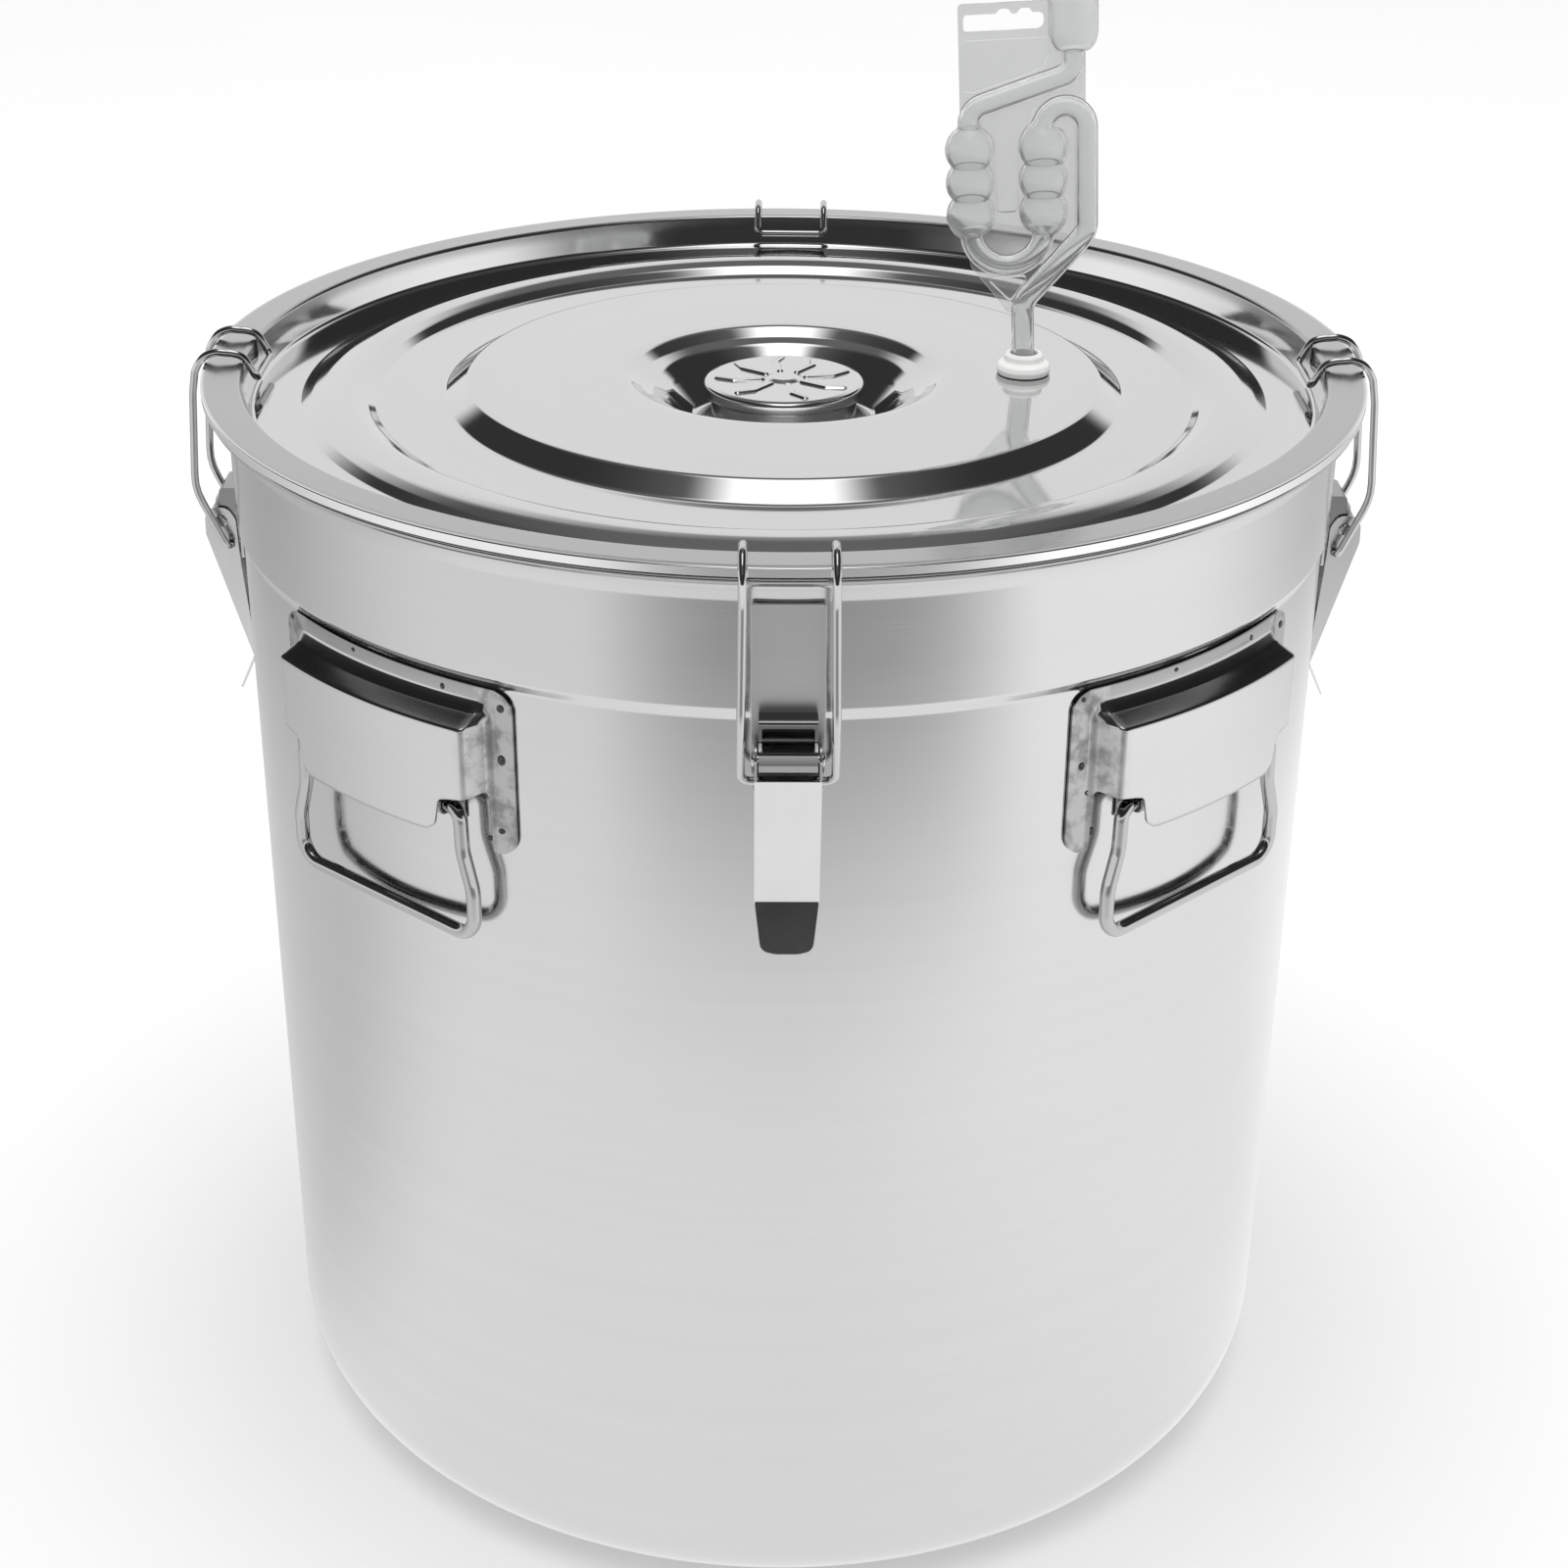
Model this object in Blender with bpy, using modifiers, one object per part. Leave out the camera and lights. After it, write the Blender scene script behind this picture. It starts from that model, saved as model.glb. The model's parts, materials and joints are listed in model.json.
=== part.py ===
"""Stainless 50 litre storage can with a clamped lid, a vent cap and a bubbler airlock."""

import math

import bmesh
import bpy
from mathutils import Matrix, Vector

MM = 0.001

# --- driving dimensions, in millimetres ---------------------------------------------
RIM_Z = 415.6          # height of the lid edge above the floor
BODY_R = 201.0         # outside radius of the drum
BAND_R = 203.0         # outside radius of the collar band below the rim
WALL = 1.0             # sheet of the drum and the lid
CORNER_R = 30.0        # radius where the wall meets the base
STEP_TOP = -50.0       # collar band ends here, below the lid edge
STEP_LOW = -53.6
ROUND_STEPS = 40       # facets round the large turned pieces

LATCH_AZIMUTHS = (("front", 0.65), ("right", 90.0), ("back", 179.35), ("left", 270.0))
LEVER_PIVOT = (211.4, -62.5)   # radius and height of the lever's pin
BAIL_PIVOT = (208.4, -71.5)    # radius and height of the bail's feet in the lever
BAIL_WIRE = 2.8
LEVER_HALF = 10.5
LEVER_SHEET = 0.8
PIN_D = 3.0

HANDLE_AZIMUTHS = (
    ("front_left", -40.9),
    ("front_right", 43.3),
    ("back_right", 138.0),
    ("back_left", 222.0),
)
HANDLE_PIVOT = (204.5, -96.5)  # distance from the can's axis, and height
HANDLE_WIRE = 5.0
COVER_TOP = -54.4
COVER_FACE_R = 212.0
COVER_SHEET = 1.0

VENT_X = 88.5          # airlock hole, out from the lid's centre
LEAN = 3.3             # degrees the airlock leans inwards in its soft grommet
LEAN_Z = -3.5          # height it leans about
TUBE_R = 4.1           # airlock tube
BORE_R = 2.9
WEB_HALF = 0.6

COLLECTION = "milk_can"


# --- scene and material helpers -----------------------------------------------------
def clear_scene():
    for item in list(bpy.data.objects):
        bpy.data.objects.remove(item, do_unlink=True)


def collection(name, parent):
    group = bpy.data.collections.new(name)
    parent.children.link(group)
    return group


def material(name, colour, roughness, metallic):
    made = bpy.data.materials.new(name)
    made.use_nodes = True
    shader = made.node_tree.nodes["Principled BSDF"]
    shader.inputs["Base Color"].default_value = (*colour, 1.0)
    shader.inputs["Roughness"].default_value = roughness
    shader.inputs["Metallic"].default_value = metallic
    made.diffuse_color = (*colour, 1.0)
    return made


clear_scene()
ROOT = bpy.context.scene.collection
PARTS = collection(COLLECTION, ROOT)
CUTTERS = collection("cutters", ROOT)

SATIN = material("satin_steel", (0.62, 0.62, 0.61), 0.32, 1.0)
MIRROR = material("mirror_steel", (0.70, 0.70, 0.70), 0.10, 1.0)
PRESSED = material("pressed_steel", (0.60, 0.60, 0.60), 0.20, 1.0)
WIRE = material("spring_wire", (0.66, 0.66, 0.66), 0.14, 1.0)
SILICONE = material("white_silicone", (0.86, 0.86, 0.85), 0.45, 0.0)
CLEAR = material("clear_plastic", (0.90, 0.92, 0.92), 0.08, 0.0)


def finish(item, name, skin, smooth=True):
    item.name = name
    item.data.name = name
    item.data.materials.clear()
    item.data.materials.append(skin)
    if smooth and item.type == "MESH":
        for face in item.data.polygons:
            face.use_smooth = True
    return item


def place(item, parent, location):
    item.parent = parent
    item.location = Vector(location) * MM
    return item


def mesh_object(name, bm, group=PARTS):
    mesh = bpy.data.meshes.new(name)
    bm.to_mesh(mesh)
    bm.free()
    item = bpy.data.objects.new(name, mesh)
    group.objects.link(item)
    return item


def hide_cutter(item):
    item.hide_render = True
    item.display_type = "WIRE"


def to_mesh(item, group=None):
    """A curve, or an object with modifiers, as a plain welded mesh."""
    bpy.context.view_layer.update()
    graph = bpy.context.evaluated_depsgraph_get()
    mesh = bpy.data.meshes.new_from_object(item.evaluated_get(graph))
    bm = bmesh.new()
    bm.from_mesh(mesh)
    bmesh.ops.remove_doubles(bm, verts=bm.verts, dist=0.000002)
    bmesh.ops.recalc_face_normals(bm, faces=bm.faces)
    bm.to_mesh(mesh)
    bm.free()
    made = bpy.data.objects.new(item.name + "_mesh", mesh)
    made.matrix_world = item.matrix_world.copy()
    (group or PARTS).objects.link(made)
    bpy.data.objects.remove(item, do_unlink=True)
    return made


def boolean(item, other, operation):
    """Adds or cuts another mesh object, and keeps the result as plain mesh."""
    change = item.modifiers.new(operation.lower(), "BOOLEAN")
    change.operation = operation
    change.solver = "EXACT"
    change.object = other
    made = to_mesh(item)
    bpy.data.objects.remove(other, do_unlink=True)
    return made


# --- shape helpers ------------------------------------------------------------------
def turned(name, profile, closed, steps=ROUND_STEPS, at=(0.0, 0.0), smooth=True):
    """A profile in (radius, height) millimetres, turned about the vertical axis."""
    bm = bmesh.new()
    spots = [bm.verts.new((r * MM, 0.0, z * MM)) for r, z in profile]
    for one, two in zip(spots, spots[1:]):
        bm.edges.new((one, two))
    if closed:
        bm.edges.new((spots[-1], spots[0]))
    item = mesh_object(name, bm)
    spin = item.modifiers.new("turn", "SCREW")
    spin.angle = math.tau
    spin.steps = steps
    spin.render_steps = steps
    spin.use_merge_vertices = True
    spin.merge_threshold = 0.00005
    spin.use_normal_calculate = False
    spin.use_smooth_shade = smooth
    item.location = Vector((at[0], at[1], 0.0)) * MM
    return item


def outline(name, points, half, group=PARTS):
    """A flat outline in (x, z), extruded to both sides along y."""
    data = bpy.data.curves.new(name, "CURVE")
    data.dimensions = "2D"
    data.fill_mode = "BOTH"
    data.extrude = half * MM
    line = data.splines.new("POLY")
    line.points.add(len(points) - 1)
    for spot, (x, z) in zip(line.points, points):
        spot.co = (x * MM, z * MM, 0.0, 1.0)
    line.use_cyclic_u = True
    item = bpy.data.objects.new(name, data)
    group.objects.link(item)
    item.rotation_euler = (math.pi / 2, 0.0, 0.0)
    made = to_mesh(item, group)
    made.data.transform(made.matrix_world)
    made.matrix_world = Matrix.Identity(4)
    return made


def wire(name, points, thick, group=PARTS):
    """Round wire through the points, in millimetres."""
    data = bpy.data.curves.new(name, "CURVE")
    data.dimensions = "3D"
    data.bevel_depth = thick / 2 * MM
    data.bevel_resolution = 2
    data.use_fill_caps = True
    line = data.splines.new("POLY")
    line.points.add(len(points) - 1)
    for spot, place_at in zip(line.points, points):
        spot.co = (*(Vector(place_at) * MM), 1.0)
    item = bpy.data.objects.new(name, data)
    group.objects.link(item)
    return to_mesh(item, group)


def rounded(points, radius, cuts=3):
    """The path with each inner corner replaced by a short arc."""
    path = [Vector(points[0])]
    for before, corner, after in zip(points, points[1:], points[2:]):
        before, corner, after = Vector(before), Vector(corner), Vector(after)
        first, second = (before - corner), (after - corner)
        reach = min(radius, first.length * 0.45, second.length * 0.45)
        start = corner + first.normalized() * reach
        end = corner + second.normalized() * reach
        for step in range(cuts + 1):
            t = step / cuts
            path.append(start * (1 - t) ** 2 + corner * 2 * t * (1 - t) + end * t * t)
    path.append(Vector(points[-1]))
    return path


def box(name, low, high, group=PARTS):
    bm = bmesh.new()
    bmesh.ops.create_cube(bm, size=1.0)
    low, high = Vector(low), Vector(high)
    for spot in bm.verts:
        spot.co = Vector(
            (low[i] + high[i]) / 2 + spot.co[i] * (high[i] - low[i]) for i in range(3)
        ) * MM
    return mesh_object(name, bm, group)


def rod(name, x, z, half, radius, sides=12, group=PARTS, off=0.0):
    """A round bar lying along y, centred on y = off."""
    bm = bmesh.new()
    turn = Matrix.Translation(Vector((x, off, z)) * MM) @ Matrix.Rotation(math.pi / 2, 4, "X")
    bmesh.ops.create_cone(
        bm, cap_ends=True, segments=sides, radius1=radius * MM, radius2=radius * MM,
        depth=2 * half * MM, matrix=turn,
    )
    return mesh_object(name, bm, group)


def post(name, x, y, low, high, radius, sides=24, group=PARTS):
    """A round bar standing along z."""
    bm = bmesh.new()
    turn = Matrix.Translation(Vector((x, y, (low + high) / 2)) * MM)
    bmesh.ops.create_cone(
        bm, cap_ends=True, segments=sides, radius1=radius * MM, radius2=radius * MM,
        depth=(high - low) * MM, matrix=turn,
    )
    return mesh_object(name, bm, group)


def shifted(item, offset):
    item.data.transform(Matrix.Translation(Vector(offset) * MM))
    return item


def sheet_below(points, thick):
    """The underside of a sheet whose upper side runs outwards through the points."""
    under = []
    for i, (r, z) in enumerate(points):
        r0, z0 = points[max(i - 1, 0)]
        r1, z1 = points[min(i + 1, len(points) - 1)]
        one = Vector((r - r0, z - z0)) if i else Vector((r1 - r, z1 - z))
        two = Vector((r1 - r, z1 - z)) if i < len(points) - 1 else one
        one, two = one.normalized(), two.normalized()
        n1, n2 = Vector((one.y, -one.x)), Vector((two.y, -two.x))
        out = (n1 + n2).normalized()
        reach = thick / max(out.dot(n1), 0.5)
        under.append((r + out.x * reach, z + out.y * reach))
    return under


def station(name, azimuth):
    """An empty on the can's axis whose x points outwards at this azimuth from the front."""
    empty = bpy.data.objects.new(name, None)
    PARTS.objects.link(empty)
    empty.location = (0.0, 0.0, RIM_Z * MM)
    empty.rotation_euler = (0.0, 0.0, math.radians(azimuth - 90.0))
    return empty


# --- drum ---------------------------------------------------------------------------
def container():
    z = RIM_Z
    inside = [(0.0, WALL), (BODY_R - CORNER_R, WALL)]
    outside = []
    for step in range(1, 5):
        a = math.pi / 8 * step
        inside.append((BODY_R - CORNER_R + (CORNER_R - WALL) * math.sin(a),
                       CORNER_R - (CORNER_R - WALL) * math.cos(a)))
        outside.append((BODY_R - CORNER_R + CORNER_R * math.sin(a),
                        CORNER_R - CORNER_R * math.cos(a)))
    inside += [
        (BODY_R - WALL, z + STEP_LOW), (BAND_R - WALL, z + STEP_TOP),
        (BAND_R - WALL, z - 12.8), (202.6, z - 8.6), (204.2, z - 5.2),
        (206.6, z - 3.5), (209.3, z - 2.6), (210.3, z - 3.4),
    ]
    rim = [
        (210.3, z - 4.8), (209.2, z - 5.6), (207.2, z - 5.2), (205.1, z - 6.7),
        (203.7, z - 9.4), (BAND_R, z - 13.2), (BAND_R, z + STEP_TOP),
        (BODY_R, z + STEP_LOW),
    ]
    profile = inside + rim + outside[::-1] + [(BODY_R - CORNER_R, 0.0), (0.0, 0.0)]
    return finish(turned("container_body", profile, False), "container_body", SATIN)


# --- lid ----------------------------------------------------------------------------
LID_TOP = [
    (24.0, -24.6), (34.5, -24.6), (43.0, -14.4), (49.5, -9.8),
    (59.0, -5.3), (117.0, -5.3), (126.0, -11.2),
    (150.0, -11.4), (156.0, -8.0), (163.4, -6.9), (170.8, -8.0),
    (176.6, -10.9), (193.2, -10.9), (195.7, -9.4), (198.1, -0.5), (199.9, 1.3),
    (208.8, 1.2), (211.1, 0.5), (211.7, -0.8), (211.5, -2.0),
]


def lid():
    profile = LID_TOP + sheet_below(LID_TOP, WALL)[::-1]
    shell = turned("lid_shell", profile, True)
    shell = to_mesh(shell)
    hole = post("airlock_hole", VENT_X, 0.0, -12.0, 2.0, 6.8, 24, CUTTERS)
    hide_cutter(hole)
    shell = boolean(shell, hole, "DIFFERENCE")
    finish(shell, "lid_shell", MIRROR)
    return place(shell, None, (0.0, 0.0, RIM_Z))


def lid_gasket():
    ring = [(200.0, -0.1), (208.4, -0.1), (208.4, -2.2), (200.0, -2.2)]
    item = finish(turned("lid_gasket", ring, True), "lid_gasket", SILICONE)
    return place(item, None, (0.0, 0.0, RIM_Z))


def vent():
    neck = [
        (19.0, -12.2), (26.6, -12.2), (27.0, -12.8), (27.0, -22.6), (30.0, -23.2),
        (30.0, -24.3), (23.6, -24.3), (23.6, -33.5), (19.0, -33.5),
    ]
    item = finish(turned("vent_neck", neck, True, 24), "vent_neck", PRESSED)
    place(item, None, (0.0, 0.0, RIM_Z))
    seal = [(9.0, -9.5), (26.4, -9.5), (26.4, -11.9), (9.0, -11.9)]
    item = finish(turned("vent_seal", seal, True, 24), "vent_seal", SILICONE)
    place(item, None, (0.0, 0.0, RIM_Z))
    nut = bmesh.new()
    bmesh.ops.create_cone(
        nut, cap_ends=True, segments=6, radius1=34.0 * MM, radius2=34.0 * MM,
        depth=5.0 * MM, matrix=Matrix.Translation((0.0, 0.0, -28.6 * MM)),
    )
    nut = mesh_object("vent_nut", nut)
    hole = post("nut_hole", 0.0, 0.0, -40.0, -20.0, 24.0, 24, CUTTERS)
    hide_cutter(hole)
    nut = boolean(nut, hole, "DIFFERENCE")
    finish(nut, "vent_nut", PRESSED, False)
    place(nut, None, (0.0, 0.0, RIM_Z))
    cap = [
        (0.0, -7.5), (5.6, -7.5), (6.8, -8.2), (27.6, -8.2), (29.2, -8.8), (29.8, -10.2),
        (29.8, -12.6), (29.2, -13.4), (28.2, -13.4), (28.0, -12.4), (28.0, -10.6),
        (27.0, -9.2), (0.0, -9.2),
    ]
    cap = to_mesh(turned("vent_cap", cap, False, 28))
    for petal in range(8):
        a = math.radians(petal * 45.0 + 10.0)
        rib = box("rib", (10.5, -1.1, -8.6), (24.5, 1.1, -7.6))
        rib.data.transform(Matrix.Rotation(a, 4, "Z"))
        cap = boolean(cap, rib, "UNION")
    finish(cap, "vent_cap", MIRROR)
    place(cap, None, (0.0, 0.0, RIM_Z))


# --- airlock ------------------------------------------------------------------------
def arc(cx, cz, radius, first, last, count):
    spots = []
    for i in range(count + 1):
        a = math.radians(first + (last - first) * i / count)
        spots.append((cx + radius * math.cos(a), cz + radius * math.sin(a)))
    return spots


def airlock_route():
    """(x, z, radius factor) along the tube, from the stem's foot to the cup."""
    route = [(0.0, -24.0, 0.0), (0.0, 18.0, 0.0)]
    route += [(1.2, 22.0, 0.0), (4.0, 25.8, 0.0), (19.6, 41.6, 0.0), (22.6, 45.2, 0.0)]
    route += [(x, z, 0.0) for x, z in arc(15.75, 84.2, 7.75, 0, 180, 5)]
    for centre in (78.2, 66.4, 54.6):
        route += [(8.0, centre + d, w) for d, w in BULB]
    route += [(x, z, 0.0) for x, z in arc(-5.1, 48.4, 13.1, 0, -180, 7)]
    for centre in (54.6, 66.4, 78.2):
        route += [(-18.2, centre - d, w) for d, w in BULB]
    route += [(-18.0, 87.5, 0.0), (-16.2, 91.6, 0.0), (-11.6, 94.2, 0.0)]
    route += [(12.4, 101.4, 0.0), (17.4, 104.4, 0.0), (19.0, 108.6, 0.0)]
    route += [(19.0, 111.4, 0.0), (19.0, 112.2, 0.5), (19.0, 114.6, 0.85), (19.0, 118.2, 1.0)]
    route += [(19.0, 130.0, 1.0)]
    return route


BULB = ((5.2, 0.25), (3.4, 0.80), (0.0, 1.0), (-3.4, 0.80), (-5.2, 0.25))
BULB_EXTRA = 4.7


def lofted(name, route, base, group=PARTS, sides=8):
    """A tube of changing radius along a route in the x-z plane."""
    bm = bmesh.new()
    rings = []
    count = len(route)
    for i, (x, z, wide) in enumerate(route):
        x0, z0, _ = route[max(i - 1, 0)]
        x1, z1, _ = route[min(i + 1, count - 1)]
        along = Vector((x1 - x0, 0.0, z1 - z0)).normalized()
        side = Vector((along.z, 0.0, -along.x))
        radius = base + BULB_EXTRA * wide
        ring = []
        for k in range(sides):
            a = math.tau * (k + 0.5) / sides
            spot = Vector((x, 0.0, z)) + side * radius * math.cos(a)
            spot += Vector((0.0, 1.0, 0.0)) * radius * math.sin(a)
            ring.append(bm.verts.new(spot * MM))
        rings.append(ring)
    for one, two in zip(rings, rings[1:]):
        for k in range(sides):
            bm.faces.new((one[k], one[(k + 1) % sides], two[(k + 1) % sides], two[k]))
    bm.faces.new(rings[0])
    bm.faces.new(rings[-1])
    bmesh.ops.recalc_face_normals(bm, faces=bm.faces)
    return mesh_object(name, bm, group)


def airlock():
    body = lofted("airlock", airlock_route(), TUBE_R)
    web = [
        (-21.4, 129.0), (-21.4, 52.0), (-18.8, 36.0), (-4.4, 17.0), (-0.6, 20.0), (3.2, 26.6),
        (18.0, 41.6), (22.2, 46.6), (22.2, 84.0), (23.1, 92.0), (23.1, 111.0), (12.0, 116.0),
        (12.0, 129.0),
    ]
    body = boolean(body, outline("web", web, WEB_HALF), "UNION")
    slot = [(-18.0, 119.4), (6.8, 119.4), (8.6, 121.2), (8.6, 123.4), (6.8, 125.2),
            (4.6, 125.2), (3.6, 126.8), (0.6, 126.8), (-1.0, 125.2), (-2.6, 125.2),
            (-3.8, 126.8), (-6.8, 126.8), (-8.2, 125.2), (-18.0, 125.2), (-19.6, 123.4),
            (-19.6, 121.2)]
    slot = outline("hang_slot", slot, 3.0, CUTTERS)
    hide_cutter(slot)
    body = boolean(body, slot, "DIFFERENCE")
    route = airlock_route()
    route[0] = (0.0, -26.0, 0.0)
    route[-1] = (19.0, 132.0, 1.0)
    bore = lofted("airlock_bore", route, BORE_R, CUTTERS, 6)
    hide_cutter(bore)
    body = boolean(body, bore, "DIFFERENCE")
    finish(body, "airlock", CLEAR)
    shifted(body, (0.0, 0.0, -LEAN_Z))
    body.rotation_euler = (0.0, -math.radians(LEAN), 0.0)
    return place(body, None, (VENT_X, 0.0, RIM_Z + LEAN_Z))


def grommet():
    ring = [
        (4.9, 2.6), (6.2, 2.6), (7.2, 1.8), (7.2, -0.2), (9.2, -1.6), (10.0, -3.0),
        (9.6, -5.0), (6.4, -5.0), (6.4, -6.7), (8.0, -6.7), (7.4, -9.6), (4.9, -9.6),
    ]
    item = finish(turned("airlock_grommet", ring, True, 16), "airlock_grommet", SILICONE)
    return place(item, None, (VENT_X, 0.0, RIM_Z))


# --- latches ------------------------------------------------------------------------
def latch(side, azimuth):
    hub = station("latch_" + side, azimuth)
    name = "latch_" + side + "_"
    fr, fz = LEVER_PIVOT
    pr, pz = BAIL_PIVOT

    plate = box(name + "plate", (203.3, -11.6, -77.0), (204.5, 11.6, -15.5))
    place(finish(plate, name + "plate", PRESSED, False), hub, (0, 0, 0))

    # folded bracket: back, roof, two cheeks and the lip that closes over the pin
    cheek = [
        (204.8, -49.6), (211.4, -49.6), (211.9, -56.5), (215.0, -59.4), (216.0, -62.5),
        (215.0, -65.6), (212.0, -67.4), (207.0, -68.6), (204.8, -72.0),
    ]
    bracket = outline("bracket", cheek, 9.2)
    hollow = [
        (205.8, -50.7), (210.4, -50.7), (210.8, -56.8), (213.6, -59.8), (214.8, -62.5),
        (213.6, -75.0), (205.8, -75.0),
    ]
    hollow = outline("bracket_hollow", hollow, 8.2, CUTTERS)
    hide_cutter(hollow)
    bracket = boolean(bracket, hollow, "DIFFERENCE")
    window = box("bracket_window", (206.4, -8.2, -58.6), (220.0, 8.2, -52.0), CUTTERS)
    hide_cutter(window)
    bracket = boolean(bracket, window, "DIFFERENCE")
    hole = rod("bracket_hole", fr, fz, 12.0, PIN_D / 2 + 0.3, 12, CUTTERS)
    hide_cutter(hole)
    bracket = boolean(bracket, hole, "DIFFERENCE")
    place(finish(bracket, name + "bracket", PRESSED, False), hub, (0, 0, 0))

    pin = rod("pin", fr, fz, 11.4, PIN_D / 2)
    for end in (-1, 1):
        head = rod("pin_head", fr, fz, 0.5, PIN_D / 2 + 0.9, 12, PARTS, end * 11.3)
        pin = boolean(pin, head, "UNION")
    place(finish(pin, name + "pin", PRESSED, False), hub, (0, 0, 0))

    wedge = [
        (217.5, -67.5), (216.9, -62.4), (214.9, -58.4), (211.4, -56.8), (208.0, -58.2),
        (206.3, -62.0), (205.7, -70.0), (205.5, -77.5), (204.4, -90.0), (203.1, -106.0),
        (202.4, -117.4), (203.2, -118.0),
    ]
    lever = outline("lever", wedge, LEVER_HALF)
    inner = [
        (216.6, -67.3), (230.0, -67.3), (230.0, -40.0), (190.0, -40.0), (190.0, -116.5),
        (202.7, -116.5),
    ]
    inner = outline("lever_inner", inner, LEVER_HALF - LEVER_SHEET, CUTTERS)
    hide_cutter(inner)
    lever = boolean(lever, inner, "DIFFERENCE")
    tab = [(203.3, -117.2), (210.6, -133.2), (209.9, -133.6), (202.3, -117.4)]
    tab = outline("tab", tab, 9.6)
    lever = boolean(lever, tab, "UNION")
    for r, z, size in ((fr, fz, PIN_D / 2 + 0.3), (pr, pz, BAIL_WIRE / 2 + 0.3)):
        hole = rod("lever_hole", r, z, 14.0, size, 12, CUTTERS)
        hide_cutter(hole)
        lever = boolean(lever, hole, "DIFFERENCE")
    shifted(lever, (-fr, 0.0, -fz))
    place(finish(lever, name + "lever", PRESSED, False), hub, (fr, 0.0, fz))

    half = [
        (pr, 8.2, pz), (pr, 14.9, pz), (219.0, 14.7, -48.0), (216.6, 14.2, -11.0),
        (215.2, 14.2, -3.0), (211.8, 14.2, 2.4), (207.4, 14.2, 4.5), (203.6, 14.2, 4.4),
        (200.4, 14.2, 4.1), (197.4, 14.2, 3.0), (195.2, 14.2, 0.0), (192.6, 14.2, -5.2),
    ]
    start = rounded(half[:4], 4.0, 2)
    across = [(192.6, 14.2, -5.2), (192.6, -14.2, -5.2)]
    arm = [Vector(p) for p in half[4:-1]]
    corner = rounded([half[-2], across[0], (192.6, 0.0, -5.2)], 2.6)[1:-1]
    one = start + arm + corner
    one = [p for i, p in enumerate(one) if i == 0 or (p - one[i - 1]).length > 0.6]
    two = [Vector((p.x, -p.y, p.z)) for p in reversed(one)]
    path = [p - Vector((pr, 0.0, pz)) for p in one + two]
    bail = wire(name + "bail", path, BAIL_WIRE)
    place(finish(bail, name + "bail", WIRE), hub, (pr, 0.0, pz))


# --- handles ------------------------------------------------------------------------
COVER_COLUMNS = (15.75, 15.1, 14.2, 13.0, 12.3, 9.1, 6.1, 3.1)
COVER_ROWS = (
    (COVER_TOP, 0.0), (-58.6, 0.0), (-61.4, 3.2), (-63.8, 8.4), (-66.0, 9.7),
    (-92.6, 9.7), (-104.7, 9.7), (-112.9, 9.7),
)
COVER_SIDE = {15.75: 0.0, 15.1: 0.0, 14.2: 0.0, 13.0: 0.12, 12.3: 0.9}


def cover(name, hub):
    columns = [-c for c in COVER_COLUMNS] + [0.0] + [c for c in reversed(COVER_COLUMNS)]
    bm = bmesh.new()
    bmesh.ops.create_grid(
        bm, x_segments=len(columns) - 1, y_segments=len(COVER_ROWS) - 1, size=1.0
    )
    base = COVER_FACE_R - 9.7
    wide, tall = len(columns) - 1, len(COVER_ROWS) - 1
    drop = []
    spots = {}
    for spot in list(bm.verts):
        i = round((spot.co.x + 1.0) / 2.0 * wide)
        j = round((1.0 - spot.co.y) / 2.0 * tall)
        angle = columns[i]
        z, rise = COVER_ROWS[j]
        rise *= COVER_SIDE.get(abs(angle), 1.0)
        if abs(angle) > 15.5 and j in (0, tall):
            z += 2.4 if j else -2.4
        r = base + rise
        a = math.radians(angle)
        spots[spot] = (i, j)
        spot.co = Vector((r * math.cos(a), r * math.sin(a), z)) * MM
    for face in bm.faces:
        i = min(spots[v][0] for v in face.verts)
        j = min(spots[v][1] for v in face.verts)
        middle = abs((columns[i] + columns[i + 1]) / 2)
        low_strip = j == tall - 1 and middle < 13.5
        notch = j >= tall - 2 and 9.1 < middle < 13.5
        if low_strip or notch:
            drop.append(face)
    bmesh.ops.delete(bm, geom=drop, context="FACES")
    bmesh.ops.recalc_face_normals(bm, faces=bm.faces)
    if sum((f.normal.x for f in bm.faces)) < 0:
        bmesh.ops.reverse_faces(bm, faces=bm.faces)
    item = mesh_object(name, bm)
    thick = item.modifiers.new("sheet", "SOLIDIFY")
    thick.thickness = COVER_SHEET * MM
    thick.offset = -1.0
    thick.use_even_offset = True
    finish(item, name, PRESSED)
    return place(item, hub, (0, 0, 0))


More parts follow.
